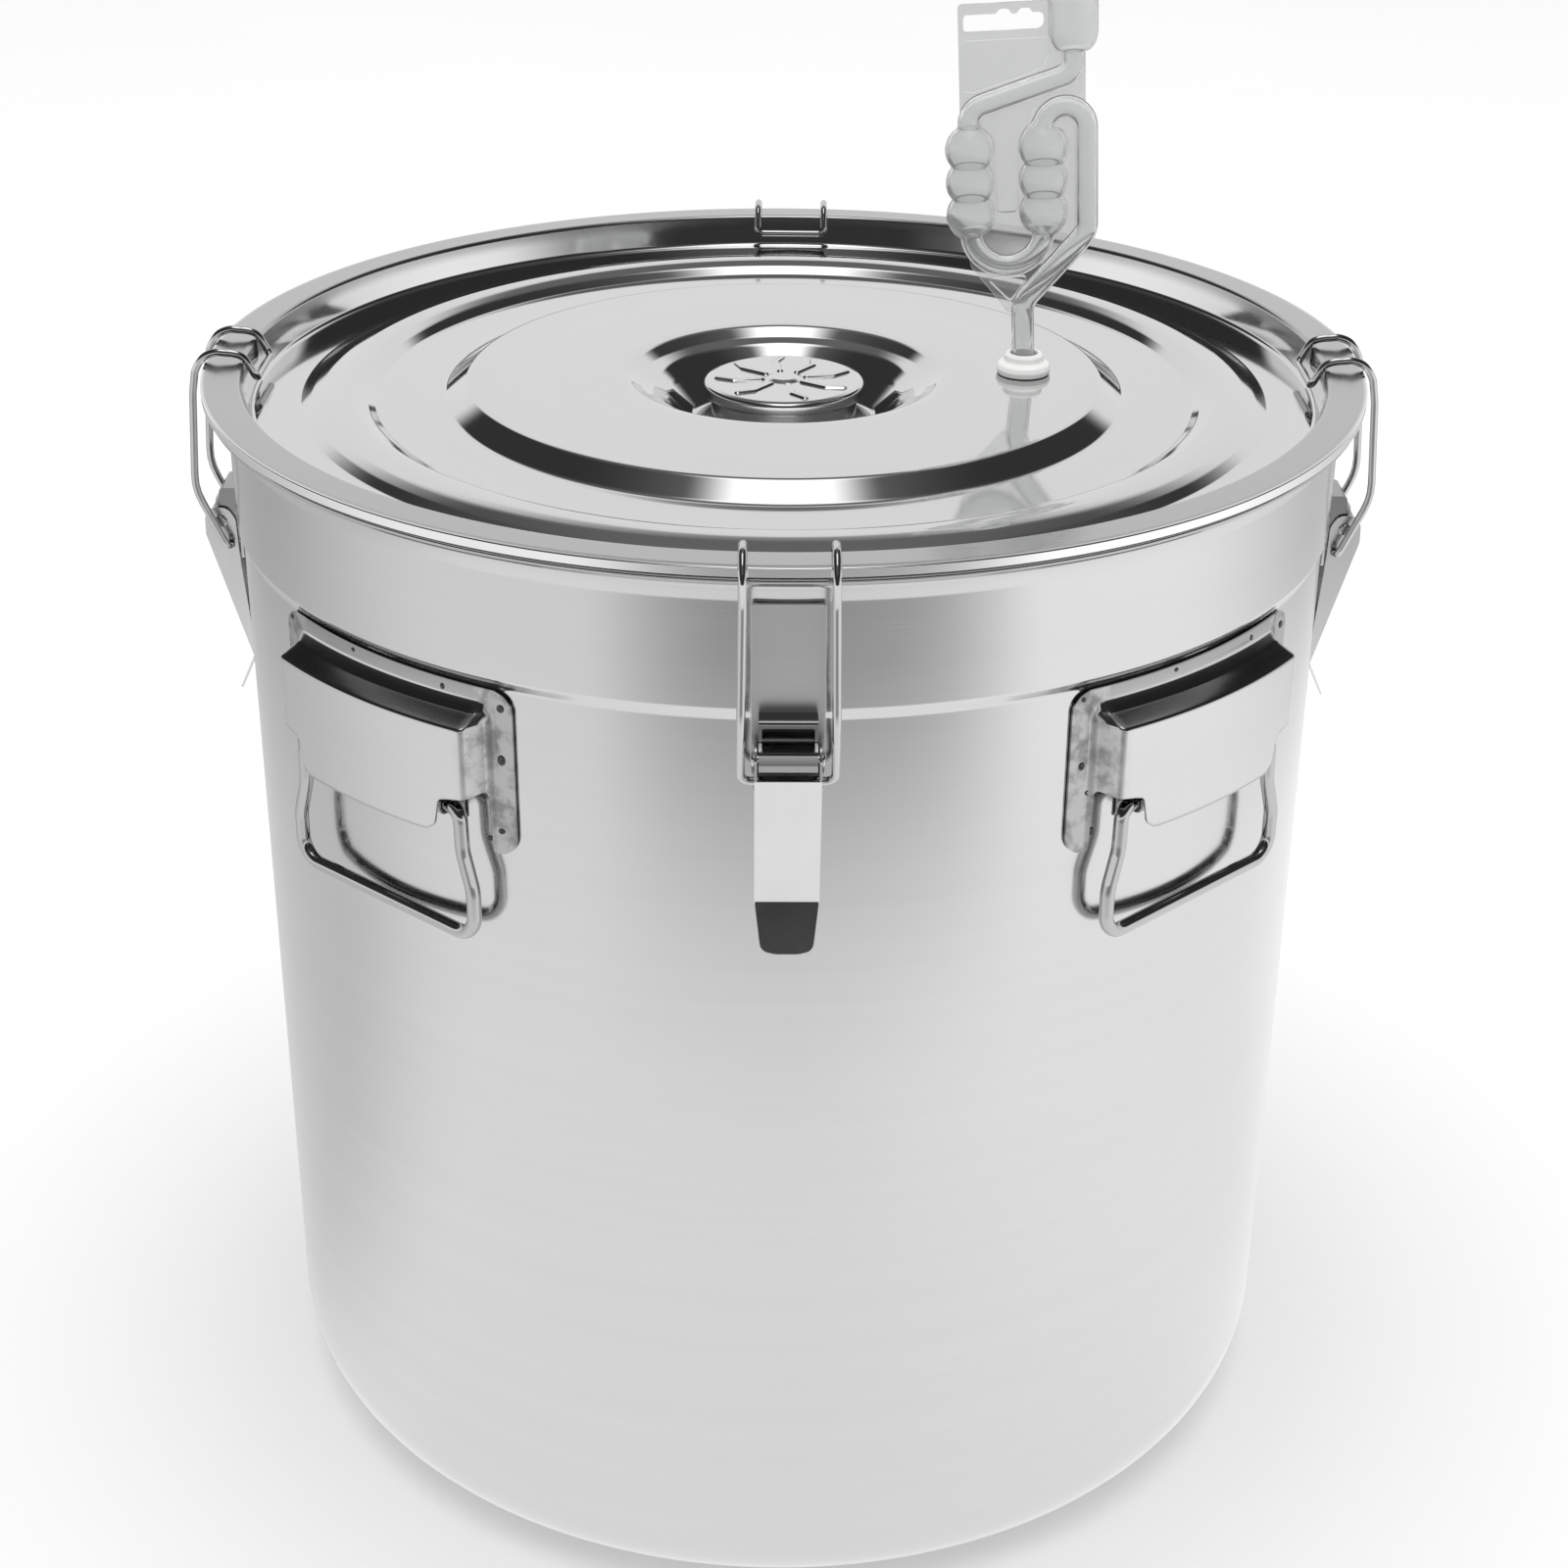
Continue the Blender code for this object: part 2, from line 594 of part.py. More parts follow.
def handle(side, azimuth):
    hub = station("handle_" + side, azimuth)
    name = "handle_" + side + "_"
    cover(name + "cover", hub)
    hr, hz = HANDLE_PIVOT

    strip = bmesh.new()
    bmesh.ops.create_grid(strip, x_segments=6, y_segments=1, size=1.0)
    for spot in strip.verts:
        a = math.radians(spot.co.x * 10.0)
        height = hz + spot.co.y * 7.0
        spot.co = Vector((201.4 * math.cos(a), 201.4 * math.sin(a), height)) * MM
    bmesh.ops.recalc_face_normals(strip, faces=strip.faces)
    if sum((f.normal.x for f in strip.faces)) < 0:
        bmesh.ops.reverse_faces(strip, faces=strip.faces)
    strip = mesh_object("hinge_strip", strip)
    thick = strip.modifiers.new("sheet", "SOLIDIFY")
    thick.thickness = 1.0 * MM
    thick.offset = 1.0
    hinge = to_mesh(strip)
    for end in (-1, 1):
        eye = rod("eye", hr, hz, 4.0, 3.9, 12, PARTS, end * 29.0)
        hinge = boolean(hinge, eye, "UNION")
    hole = rod("eye_hole", hr, hz, 60.0, HANDLE_WIRE / 2 + 0.3, 12, CUTTERS)
    hide_cutter(hole)
    hinge = boolean(hinge, hole, "DIFFERENCE")
    place(finish(hinge, name + "hinge", PRESSED, False), hub, (0, 0, 0))

    top = [(hr, 23.4, hz), (hr, 39.0, hz), (hr, 39.4, -113.0)]
    joggle = [(hr, 39.4, -105.0), (hr, 39.4, -113.0), (hr, 43.6, -126.0), (hr, 43.6, -134.0)]
    low = [(hr, 43.6, -115.0), (hr, 43.6, -143.2), (hr, 0.0, -143.2)]
    one = rounded(top, 5.0, 3)[:-1] + rounded(joggle, 6.0, 2)[1:-1] + rounded(low, 13.5, 4)[1:-1]
    two = [Vector((p.x, -p.y, p.z)) for p in reversed(one)]
    path = [p - Vector((hr, 0.0, hz)) for p in one + two]
    bail = wire(name + "bail", path, HANDLE_WIRE)
    place(finish(bail, name + "bail", WIRE), hub, (hr, 0.0, hz))


container()
lid()
lid_gasket()
vent()
airlock()
grommet()
for where, angle in LATCH_AZIMUTHS:
    latch(where, angle)
for where, angle in HANDLE_AZIMUTHS:
    handle(where, angle)
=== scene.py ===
"""Looks of the stainless storage can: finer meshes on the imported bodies, metal and plastic finishes, and a
studio with a bright floor, bright walls and a dark front. Lengths are in millimetres unless said otherwise.
"""

import json
import math

import bmesh
import bpy
from mathutils import Matrix, Vector


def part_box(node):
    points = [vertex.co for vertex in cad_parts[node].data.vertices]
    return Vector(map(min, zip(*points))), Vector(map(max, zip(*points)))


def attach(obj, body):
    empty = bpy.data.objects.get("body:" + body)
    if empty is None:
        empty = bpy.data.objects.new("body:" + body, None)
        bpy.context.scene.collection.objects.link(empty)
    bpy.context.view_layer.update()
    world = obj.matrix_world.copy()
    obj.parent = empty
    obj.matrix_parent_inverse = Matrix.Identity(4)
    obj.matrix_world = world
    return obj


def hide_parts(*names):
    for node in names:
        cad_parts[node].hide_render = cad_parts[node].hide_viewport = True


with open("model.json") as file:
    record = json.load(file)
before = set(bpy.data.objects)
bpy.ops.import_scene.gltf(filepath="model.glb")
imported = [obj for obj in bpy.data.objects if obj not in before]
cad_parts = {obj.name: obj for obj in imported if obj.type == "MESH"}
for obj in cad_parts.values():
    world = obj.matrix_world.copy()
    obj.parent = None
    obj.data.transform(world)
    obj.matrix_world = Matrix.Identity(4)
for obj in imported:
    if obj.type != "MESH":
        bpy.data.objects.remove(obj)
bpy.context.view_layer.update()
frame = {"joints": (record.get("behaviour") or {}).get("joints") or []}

MM = 0.001
JOINTS = {joint["name"]: joint for joint in frame["joints"]}
DRUM_LOW, DRUM_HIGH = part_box("container_body")
AXIS_X = (DRUM_LOW.x + DRUM_HIGH.x) / 2
AXIS_Y = (DRUM_LOW.y + DRUM_HIGH.y) / 2
RIM_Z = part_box("lid_gasket")[1].z / MM + 0.1      # lid edge above the floor, in millimetres

# --- camera -------------------------------------------------------------------------
PITCH = 26.46      # degrees below the horizon
ROLL = 0.43
LENS = 62.08
CAMERA_AT = (0.00114, -0.9645, 0.3038)      # metres from the middle of the lid's edge

camera_data = bpy.data.cameras.new("camera")
camera_data.lens = LENS
camera_data.sensor_width = 36.0
camera_data.clip_start = 0.05
camera_data.clip_end = 60.0
camera = bpy.data.objects.new("camera", camera_data)
bpy.context.scene.collection.objects.link(camera)
camera.matrix_world = (
    Matrix.Translation((AXIS_X + CAMERA_AT[0], AXIS_Y + CAMERA_AT[1], RIM_Z * MM + CAMERA_AT[2]))
    @ Matrix.Rotation(math.radians(90.0 - PITCH), 4, "X")
    @ Matrix.Rotation(math.radians(ROLL), 4, "Z")
)
bpy.context.scene.camera = camera
bpy.context.scene.view_settings.view_transform = "Standard"


# --- node helpers -------------------------------------------------------------------
MIX_FACTOR, MIX_ONE, MIX_TWO, MIX_RESULT = 0, 6, 7, 2      # a Mix node's sockets for colours


class Nodes:
    """Short calls that add shader nodes to a tree and return their first output."""

    def __init__(self, tree):
        self.tree = tree

    def add(self, kind, **settings):
        node = self.tree.nodes.new(kind)
        for key, value in settings.items():
            setattr(node, key, value)
        return node

    def put(self, socket, value):
        if isinstance(value, bpy.types.NodeSocket):
            self.tree.links.new(value, socket)
        elif value is not None:
            socket.default_value = value

    def math(self, operation, one, two=None, clamp=False):
        node = self.add("ShaderNodeMath", operation=operation, use_clamp=clamp)
        self.put(node.inputs[0], one)
        self.put(node.inputs[1], two)
        return node.outputs[0]

    def times(self, one, two):
        return self.math("MULTIPLY", one, two)

    def plus(self, one, two, clamp=False):
        return self.math("ADD", one, two, clamp)

    def less(self, one, two):
        return self.math("SUBTRACT", one, two)

    def length(self, x, y):
        return self.math("SQRT", self.plus(self.times(x, x), self.times(y, y)))

    def ramp(self, value, low, high, first=0.0, last=1.0):
        """first below low, last above high, smooth between."""
        node = self.add("ShaderNodeMapRange", interpolation_type="SMOOTHSTEP")
        for socket, number in zip(node.inputs, (value, low, high, first, last)):
            self.put(socket, number)
        return node.outputs[0]

    def split(self, vector):
        node = self.add("ShaderNodeSeparateXYZ")
        self.put(node.inputs[0], vector)
        return node.outputs

    def join(self, x, y, z):
        node = self.add("ShaderNodeCombineXYZ")
        for socket, number in zip(node.inputs, (x, y, z)):
            self.put(socket, number)
        return node.outputs[0]

    def noise(self, vector, scale, detail=2.0, rough=0.5):
        node = self.add("ShaderNodeTexNoise")
        self.put(node.inputs["Vector"], vector)
        node.inputs["Scale"].default_value = scale
        node.inputs["Detail"].default_value = detail
        node.inputs["Roughness"].default_value = rough
        return node.outputs[0]

    def mix(self, factor, one, two):
        node = self.add("ShaderNodeMix", data_type="RGBA")
        self.put(node.inputs[MIX_FACTOR], factor)
        self.put(node.inputs[MIX_ONE], one)
        self.put(node.inputs[MIX_TWO], two)
        return node.outputs[MIX_RESULT]


def grey(level):
    return (level, level, level, 1.0)


# --- finishes, some with painted shade and a painted highlight ----------------------
# painted shade: LIP_IN and LIP_OUT are where a ring of steel painted darker ends
LIP_IN, LIP_OUT = 0.2102, 0.2110        # metres from the axis: where a darkened ring ends at the rolled lip
# painted highlight: HIGHLIGHT_IN to HIGHLIGHT_OUT is a thin ring on the lip's edge painted pale
HIGHLIGHT_IN, HIGHLIGHT_OUT = 0.2111, 0.2114      # metres from the axis: the bright edge of the lip


def new_material(name):
    made = bpy.data.materials.new(name)
    made.use_nodes = True
    return made, Nodes(made.node_tree), made.node_tree.nodes["Principled BSDF"]


def relief(n, shader, height, strength, depth):
    """Fine unevenness of the surface, depth millimetres deep."""
    bump = n.add("ShaderNodeBump")
    bump.inputs["Strength"].default_value = strength
    bump.inputs["Distance"].default_value = depth * MM
    n.put(bump.inputs["Height"], height)
    n.put(shader.inputs["Normal"], bump.outputs[0])


def metal(name, level, rough, grain, across=900.0, along=6.0, aniso=0.0, depth=0.006,
          streak=0.05, blotch=0.05, spread=0.06, wear_and_painted_shade=False, painted_shade_rings=None):
    """Stainless steel of one grey level and roughness.

    grain is "turn" for marks round the can's axis, or the axis that the marks run along. across and along say
    how fine the marks are. streak and blotch change the grey level, and spread the roughness.
    wear_and_painted_shade adds the wear and dirt that a mesh carries, and painted shade where its
    painted_shade attribute is high. painted_shade_rings is two radii in metres and an extra roughness: the
    steel is painted darker, as painted shade, from the first radius to the lip, and rougher by the extra;
    with it, a thin ring on the lip's edge is also painted pale, as a painted highlight.
    """
    made, n, shader = new_material(name)
    place = n.add("ShaderNodeTexCoord").outputs["Object"]
    x, y, z = n.split(place)
    if grain == "turn":
        angle = n.math("ARCTAN2", x, n.times(y, -1.0))
        radius = n.length(x, y)
        marks = n.join(n.times(angle, along), n.times(z, across), n.times(radius, across))
    else:
        gains = [along * 8.0 if axis == grain else across for axis in "xyz"]
        marks = n.join(*(n.times(one, gain) for one, gain in zip((x, y, z), gains)))
    fine = n.noise(marks, 1.0, 3.0, 0.6)
    broad = n.noise(marks, 0.09, 2.0, 0.6)
    cloud = n.noise(place, 14.0, 4.0, 0.6)
    smear = n.noise(place, 55.0, 3.0, 0.55)
    tone = n.plus(n.times(n.less(broad, 0.5), streak * 1.6), n.times(n.less(fine, 0.5), streak))
    tone = n.plus(tone, n.times(n.less(cloud, 0.5), blotch))
    colour = n.mix(n.plus(tone, 0.5, clamp=True), grey(level * 0.70), grey(level * 1.30))
    coarse = n.plus(n.times(n.less(fine, 0.5), spread), n.times(n.less(smear, 0.5), spread))
    coarse = n.plus(coarse, rough)
    if painted_shade_rings is not None:
        inside, outside, extra = painted_shade_rings
        # painted shade: from the ring's first radius to the lip the colour is painted darker
        edge = n.times(n.ramp(radius, inside, outside), n.ramp(radius, LIP_IN, LIP_OUT, 1.0, 0.0))
        colour = n.mix(n.times(edge, 0.55), colour, grey(level * 0.45))
        # painted highlight: the lip's edge is painted pale grey
        colour = n.mix(n.ramp(radius, HIGHLIGHT_IN, HIGHLIGHT_OUT), colour, grey(0.90))
        coarse = n.plus(coarse, n.times(edge, extra))
    if wear_and_painted_shade:
        mark = n.add("ShaderNodeAttribute", attribute_name="wear").outputs["Fac"]
        dirt = n.times(mark, n.ramp(n.noise(place, 150.0, 3.0, 0.55), 0.40, 0.68, 0.0, 0.72))
        # painted shade: the colour is painted much darker where the mesh's painted_shade attribute is high
        deep = n.add("ShaderNodeAttribute", attribute_name="painted_shade").outputs["Fac"]
        colour = n.mix(n.times(deep, 0.8), colour, grey(level * 0.16))
        colour = n.mix(n.times(mark, 0.75), colour, grey(level * 0.55))
        colour = n.mix(dirt, colour, grey(level * 0.22))
        coarse = n.plus(coarse, n.times(dirt, 0.15))
    relief(n, shader, n.plus(fine, n.times(smear, 0.5)), 0.5, depth)
    n.put(shader.inputs["Base Color"], colour)
    n.put(shader.inputs["Roughness"], coarse)
    shader.inputs["Metallic"].default_value = 1.0
    if aniso:
        shader.inputs["Anisotropic"].default_value = aniso
        shader.inputs["Anisotropic Rotation"].default_value = 0.25 if grain == "turn" else 0.0
        tangent = n.add("ShaderNodeTangent", direction_type="RADIAL", axis="Z")
        n.put(shader.inputs["Tangent"], tangent.outputs[0])
    return made


def silicone():
    made, n, shader = new_material("white_silicone_skin")
    place = n.add("ShaderNodeTexCoord").outputs["Object"]
    cloud = n.noise(place, 60.0, 4.0, 0.6)
    grain = n.noise(place, 900.0, 3.0, 0.6)
    n.put(shader.inputs["Base Color"], n.mix(cloud, (0.86, 0.86, 0.85, 1), (0.93, 0.93, 0.92, 1)))
    n.put(shader.inputs["Roughness"], n.ramp(grain, 0.2, 0.8, 0.38, 0.52))
    shader.inputs["Subsurface Weight"].default_value = 0.15
    shader.inputs["Subsurface Radius"].default_value = (0.004, 0.004, 0.004)
    relief(n, shader, grain, 0.35, 0.02)
    return made


def clear_plastic():
    made, n, shader = new_material("clear_plastic_skin")
    place = n.add("ShaderNodeTexCoord").outputs["Object"]
    haze = n.noise(place, 90.0, 4.0, 0.6)
    ripple = n.noise(place, 260.0, 2.0, 0.5)
    n.put(shader.inputs["Base Color"], n.mix(haze, (0.93, 0.94, 0.94, 1), (0.98, 0.985, 0.985, 1)))
    n.put(shader.inputs["Roughness"], n.ramp(haze, 0.25, 0.8, 0.02, 0.08))
    shader.inputs["Transmission Weight"].default_value = 0.85
    shader.inputs["IOR"].default_value = 1.30
    relief(n, shader, ripple, 0.25, 0.03)
    return made


SATIN = metal("satin_steel_skin", 0.66, 0.16, "turn", 1100.0, 5.0, aniso=0.5, streak=0.05,
              blotch=0.04, spread=0.06, depth=0.002, painted_shade_rings=(0.2033, 0.2050, 0.0))
MIRROR = metal("mirror_steel_skin", 0.70, 0.07, "turn", 700.0, 5.0, streak=0.04, blotch=0.03,
               spread=0.03, depth=0.002, painted_shade_rings=(0.1962, 0.1975, 0.13))
CAP_SKIN = metal("cap_steel_skin", 0.72, 0.12, "turn", 700.0, 5.0, streak=0.04, spread=0.05)
PRESSED = metal("pressed_steel_skin", 0.66, 0.15, "y", 900.0, 8.0, streak=0.06, blotch=0.08,
                spread=0.10, wear_and_painted_shade=True)
LEVER_SKIN = metal("lever_steel_skin", 0.72, 0.22, "z", 1500.0, 10.0, streak=0.07, blotch=0.10,
                   spread=0.10)
# painted shade: steel painted much darker than the rest, grey level 0.36, for the latch brackets and the
# handle hinges
BRACKET_PAINTED_SHADE_SKIN = metal("bracket_steel_painted_shade_skin", 0.36, 0.16, "z", 900.0, 8.0, streak=0.06, blotch=0.10)
WIRE_SKIN = metal("spring_wire_skin", 0.58, 0.08, "z", 700.0, 10.0, streak=0.05, blotch=0.08,
                  spread=0.06)
PLATE_SKIN = metal("latch_plate_skin", 0.66, 0.34, "y", 900.0, 8.0, streak=0.06, blotch=0.05)
HANDLE_SKIN = metal("handle_wire_skin", 0.50, 0.08, "z", 700.0, 10.0, streak=0.06, blotch=0.10,
                    spread=0.08)
WELD_SKIN = metal("weld_skin", 0.10, 0.34, "z", 1500.0, 120.0, streak=0.3, blotch=0.3, spread=0.2,
                  depth=0.02)
SILICONE = silicone()
CLEAR = clear_plastic()


# --- shape helpers ------------------------------------------------------------------
SOFT_ANGLE = 35.0       # degrees: sharper folds than this are rounded by soften()
SOFT_SEGMENTS = 2


def part_of(value, whole):
    """value as a share of whole, kept from 0 to 1."""
    return min(1.0, max(0.0, value / whole))


def fillet(points, radii, cuts=6):
    """The path with inner corners replaced by arcs; radii is one number or one for each point."""
    points = [Vector(p) for p in points]
    if not isinstance(radii, (list, tuple)):
        radii = [radii] * len(points)
    path = [points[0]]
    for i in range(1, len(points) - 1):
        corner = points[i]
        before, after = points[i - 1] - corner, points[i + 1] - corner
        reach_limit = 0.48 * min(before.length, after.length)
        u, v = before.normalized(), after.normalized()
        half = math.acos(max(-1.0, min(1.0, u.dot(v)))) / 2
        if radii[i] <= 0 or half > 1.56 or half < 0.02:
            path.append(corner)
            continue
        reach = min(radii[i] / math.tan(half), reach_limit)
        radius = reach * math.tan(half)
        centre = corner + (u + v).normalized() * (radius / math.sin(half))
        a, b = corner + u * reach - centre, corner + v * reach - centre
        turn = math.pi - 2 * half
        steps = max(2, round(cuts * turn / 1.2))
        for k in range(steps + 1):
            t = k / steps
            path.append(centre + (a * math.sin((1 - t) * turn) + b * math.sin(t * turn)) / math.sin(turn))
    path.append(points[-1])
    return path


def loop_fillet(points, radii, cuts=6):
    """The same for a closed outline."""
    count = len(points)
    if not isinstance(radii, (list, tuple)):
        radii = [radii] * count
    middle = (Vector(points[-1]) + Vector(points[0])) / 2
    path = fillet([middle] + list(points) + [middle], [0] + list(radii) + [0], cuts)
    return path[:-1]


def smooth_path(points, cuts=4):
    """Catmull-Rom through the points."""
    points = [Vector(p) for p in points]
    path = []
    for i in range(len(points) - 1):
        p0, p1 = points[max(i - 1, 0)], points[i]
        p2, p3 = points[i + 1], points[min(i + 2, len(points) - 1)]
        for k in range(cuts):
            t = k / cuts
            path.append(0.5 * (2 * p1 + (p2 - p0) * t + (2 * p0 - 5 * p1 + 4 * p2 - p3) * t * t
                               + (3 * p1 - 3 * p2 + p3 - p0) * t ** 3))
    path.append(points[-1])
    return path


def mesh_object(name, spots, faces):
    mesh = bpy.data.meshes.new(name)
    mesh.from_pydata([tuple(Vector(s) * MM) for s in spots], [], faces)
    mesh.validate()
    bm = bmesh.new()
    bm.from_mesh(mesh)
    bmesh.ops.remove_doubles(bm, verts=bm.verts, dist=0.000001)
    bmesh.ops.recalc_face_normals(bm, faces=bm.faces)
    bm.to_mesh(mesh)
    bm.free()
    item = bpy.data.objects.new(name, mesh)
    bpy.context.scene.collection.objects.link(item)
    return item


def lathe(name, profile, closed, steps=256):
    """A profile in (radius, height) turned about the vertical axis."""
    spots, faces = [], []
    count = len(profile)
    for k in range(steps):
        a = math.tau * k / steps
        spots += [(r * math.cos(a), r * math.sin(a), z) for r, z in profile]
    for k in range(steps):
        here, there = k * count, (k + 1) % steps * count
        for i in range(count if closed else count - 1):
            j = (i + 1) % count
            faces.append((here + i, there + i, there + j, here + j))
    return mesh_object(name, spots, faces)


def sweep(name, path, radius, sides=20):
    """A round bar along a path. radius is a number, or a function of a point's place in the path."""
    path = [Vector(p) for p in path]
    path = [p for i, p in enumerate(path) if i == 0 or (p - path[i - 1]).length > 0.02]
    size = radius if callable(radius) else (lambda i: radius)
    tangents = []
    for i in range(len(path)):
        tangents.append((path[min(i + 1, len(path) - 1)] - path[max(i - 1, 0)]).normalized())
    first = Vector((0, 0, 1)) if abs(tangents[0].z) < 0.9 else Vector((0, 1, 0))
    normal = (first - tangents[0] * first.dot(tangents[0])).normalized()
    spots, faces = [], []
    for i, (here, along) in enumerate(zip(path, tangents)):
        normal = (normal - along * normal.dot(along)).normalized()
        side = along.cross(normal)
        for k in range(sides):
            a = math.tau * k / sides
            spots.append(here + (normal * math.cos(a) + side * math.sin(a)) * size(i))
    for i in range(len(path) - 1):
        for k in range(sides):
            m = (k + 1) % sides
            faces.append((i * sides + k, i * sides + m, (i + 1) * sides + m, (i + 1) * sides + k))
    last = (len(path) - 1) * sides
    faces.append(tuple(range(sides)))
    faces.append(tuple(last + k for k in range(sides)))
    return mesh_object(name, spots, faces)


def prism(name, points, half, rounding=0.0, cuts=6):
    """An outline in (x, z) pushed to both sides along y."""
    points = [(p[0], 0.0, p[1]) for p in points]
    if rounding:
        points = loop_fillet(points, rounding, cuts)
    points = [Vector(p) for p in points]
    count = len(points)
    spots = [(p.x, -half, p.z) for p in points] + [(p.x, half, p.z) for p in points]
    faces = [tuple(range(count)), tuple(range(count, 2 * count))]
    faces += [(i, (i + 1) % count, count + (i + 1) % count, count + i) for i in range(count)]
    return mesh_object(name, spots, faces)


def bar(name, x, z, half, radius, sides=32, off=0.0):
    """A round bar along y with softened ends."""
    soft = min(0.35, radius * 0.3)
    path = [(x, off - half, z), (x, off - half + soft, z), (x, off + half - soft, z), (x, off + half, z)]
    sizes = (radius - soft, radius, radius, radius - soft)
    return sweep(name, path, lambda i: sizes[i], sides)


def baked(item):
    """The object with its modifiers applied."""
    bpy.context.view_layer.update()
    graph = bpy.context.evaluated_depsgraph_get()
    mesh = bpy.data.meshes.new_from_object(item.evaluated_get(graph))
    item.modifiers.clear()
    old = item.data
    item.data = mesh
    bpy.data.meshes.remove(old)
    return item


def combine(item, other, operation):
    change = item.modifiers.new("join", "BOOLEAN")
    change.operation = operation
    change.solver = "EXACT"
    change.object = other
    baked(item)
    bpy.data.objects.remove(other, do_unlink=True)
    return item


def soften(item, width, strong=None, strong_width=1.0):
    """Rounded edges. strong says which edges, by their two ends in millimetres, get strong_width."""
    mesh = item.data
    bm = bmesh.new()
    bm.from_mesh(mesh)
    bmesh.ops.remove_doubles(bm, verts=bm.verts, dist=0.00001)
    bmesh.ops.dissolve_limit(bm, angle_limit=math.radians(0.5), verts=bm.verts, edges=bm.edges)
    layer = bm.edges.layers.float.new("bevel_weight_edge")
    widest = max(width, strong_width if strong else 0.0)
    for edge in bm.edges:
        if len(edge.link_faces) != 2 or edge.calc_face_angle(0.0) < math.radians(SOFT_ANGLE):
            continue
        edge[layer] = width / widest
        if strong and strong(*(v.co / MM for v in edge.verts)):
            edge[layer] = strong_width / widest
    bm.to_mesh(mesh)
    bm.free()
    change = item.modifiers.new("soft_edges", "BEVEL")
    change.limit_method = "WEIGHT"
    change.width = widest * MM
    change.segments = SOFT_SEGMENTS
    change.use_clamp_overlap = True
    change.miter_outer = "MITER_ARC"
    return baked(item)


def done(item, name, skin, body, nodes=(), at=None, sharp=40.0):
    """Names, shades and paints a piece, and sets it on its body."""
    item.name = name
    item.data.name = name
    item.data.materials.clear()
    item.data.materials.append(skin)
    for face in item.data.polygons:
        face.use_smooth = True
    item.data.set_sharp_from_angle(angle=math.radians(sharp))
    weigh = item.modifiers.new("weighted", "WEIGHTED_NORMAL")
    weigh.keep_sharp = True
    weigh.weight = 60
    item.matrix_world = at if at is not None else Matrix.Translation((AXIS_X, AXIS_Y, RIM_Z * MM))
    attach(item, body)
    if nodes:
        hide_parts(*nodes)
    return item


def copy_of(item, name):
    other = bpy.data.objects.new(name, item.data.copy())
    bpy.context.scene.collection.objects.link(other)
    return other


def azimuth(joint):
    """The turn about z, in radians, of the station that holds a hinge; its x points outwards."""
    x, y, _ = JOINTS[joint]["axis"]
    return math.atan2(x, -y)


def station(joint):
    return Matrix.Translation((AXIS_X, AXIS_Y, RIM_Z * MM)) @ Matrix.Rotation(azimuth(joint), 4, "Z")


def sheet_below(points, thick):
    """The underside of a sheet whose upper side runs outwards through the points."""
    under = []
    for i, (r, z) in enumerate(points):
        r0, z0 = points[max(i - 1, 0)]
        r1, z1 = points[min(i + 1, len(points) - 1)]
        along = Vector((r1 - r0, z1 - z0)).normalized()
        under.append((r + along.y * thick, z - along.x * thick))
    return under


def flat(points, radii, cuts=6):
    """fillet() for a profile in the plane."""
    return [(p.x, p.y) for p in fillet([(a, b, 0.0) for a, b in points], radii, cuts)]


# --- drum ---------------------------------------------------------------------------
SMOOTH_STEPS = 320      # flats round the drum and the lid
SHEET = 0.9             # how thick the lid and the handle covers are


def container():
    ground = -RIM_Z
    inside = [(0.0, ground + 1.0), (120.0, ground + 1.0), (200.0, ground + 1.0), (200.0, -120.0),
              (200.0, -53.6), (202.0, -50.0), (202.0, -30.0), (202.0, -12.8), (203.0, -7.2),
              (206.0, -3.8), (209.6, -2.6), (210.6, -4.1)]
    rim = [(209.4, -5.7), (206.4, -5.2), (203.9, -8.0), (203.0, -13.2), (203.0, -30.0),
           (203.0, -50.0), (201.0, -53.6), (201.0, -120.0), (201.0, ground), (120.0, ground),
           (0.0, ground)]
    radii = [0, 0, 29, 0, 3, 3, 0, 4, 3, 2.5, 1.2, 0.9]
    radii += [1.2, 2.2, 3, 4, 0, 3, 3, 0, 30, 0, 0]
    profile = flat(inside + rim, radii, 10)
    item = lathe("drum", profile, False, SMOOTH_STEPS)
    done(item, "drum", SATIN, "can", ["container_body"])


# --- lid ----------------------------------------------------------------------------
LID_TOP = [      # the upper side, in (radius, height from the lid's edge), from the vent neck outwards
    (24.0, -24.6), (34.5, -24.6), (43.0, -14.4), (48.6, -10.2), (53.0, -8.6), (58.0, -5.6),
    (61.5, -5.3), (90.0, -5.3), (116.0, -5.3), (125.6, -11.3), (138.0, -11.4), (150.0, -11.4),
    (153.5, -8.8), (158.0, -7.2), (163.5, -7.0), (168.5, -7.9), (173.0, -9.4), (177.5, -11.2),
    (185.0, -11.2), (194.6, -10.9), (197.9, 1.3), (204.0, 1.3), (209.4, 1.3), (211.7, 1.0), (211.6, -2.0),
]
LID_RADII = [0, 4, 9, 7, 5, 5, 3, 0, 4.5, 5, 0, 1.5, 5, 10, 14, 16, 16, 4, 0, 2.2, 1.8, 0, 2.5, 0.5, 0]
AIRLOCK_X = (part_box("airlock_grommet")[0].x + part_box("airlock_grommet")[1].x) / 2 / MM - AXIS_X / MM


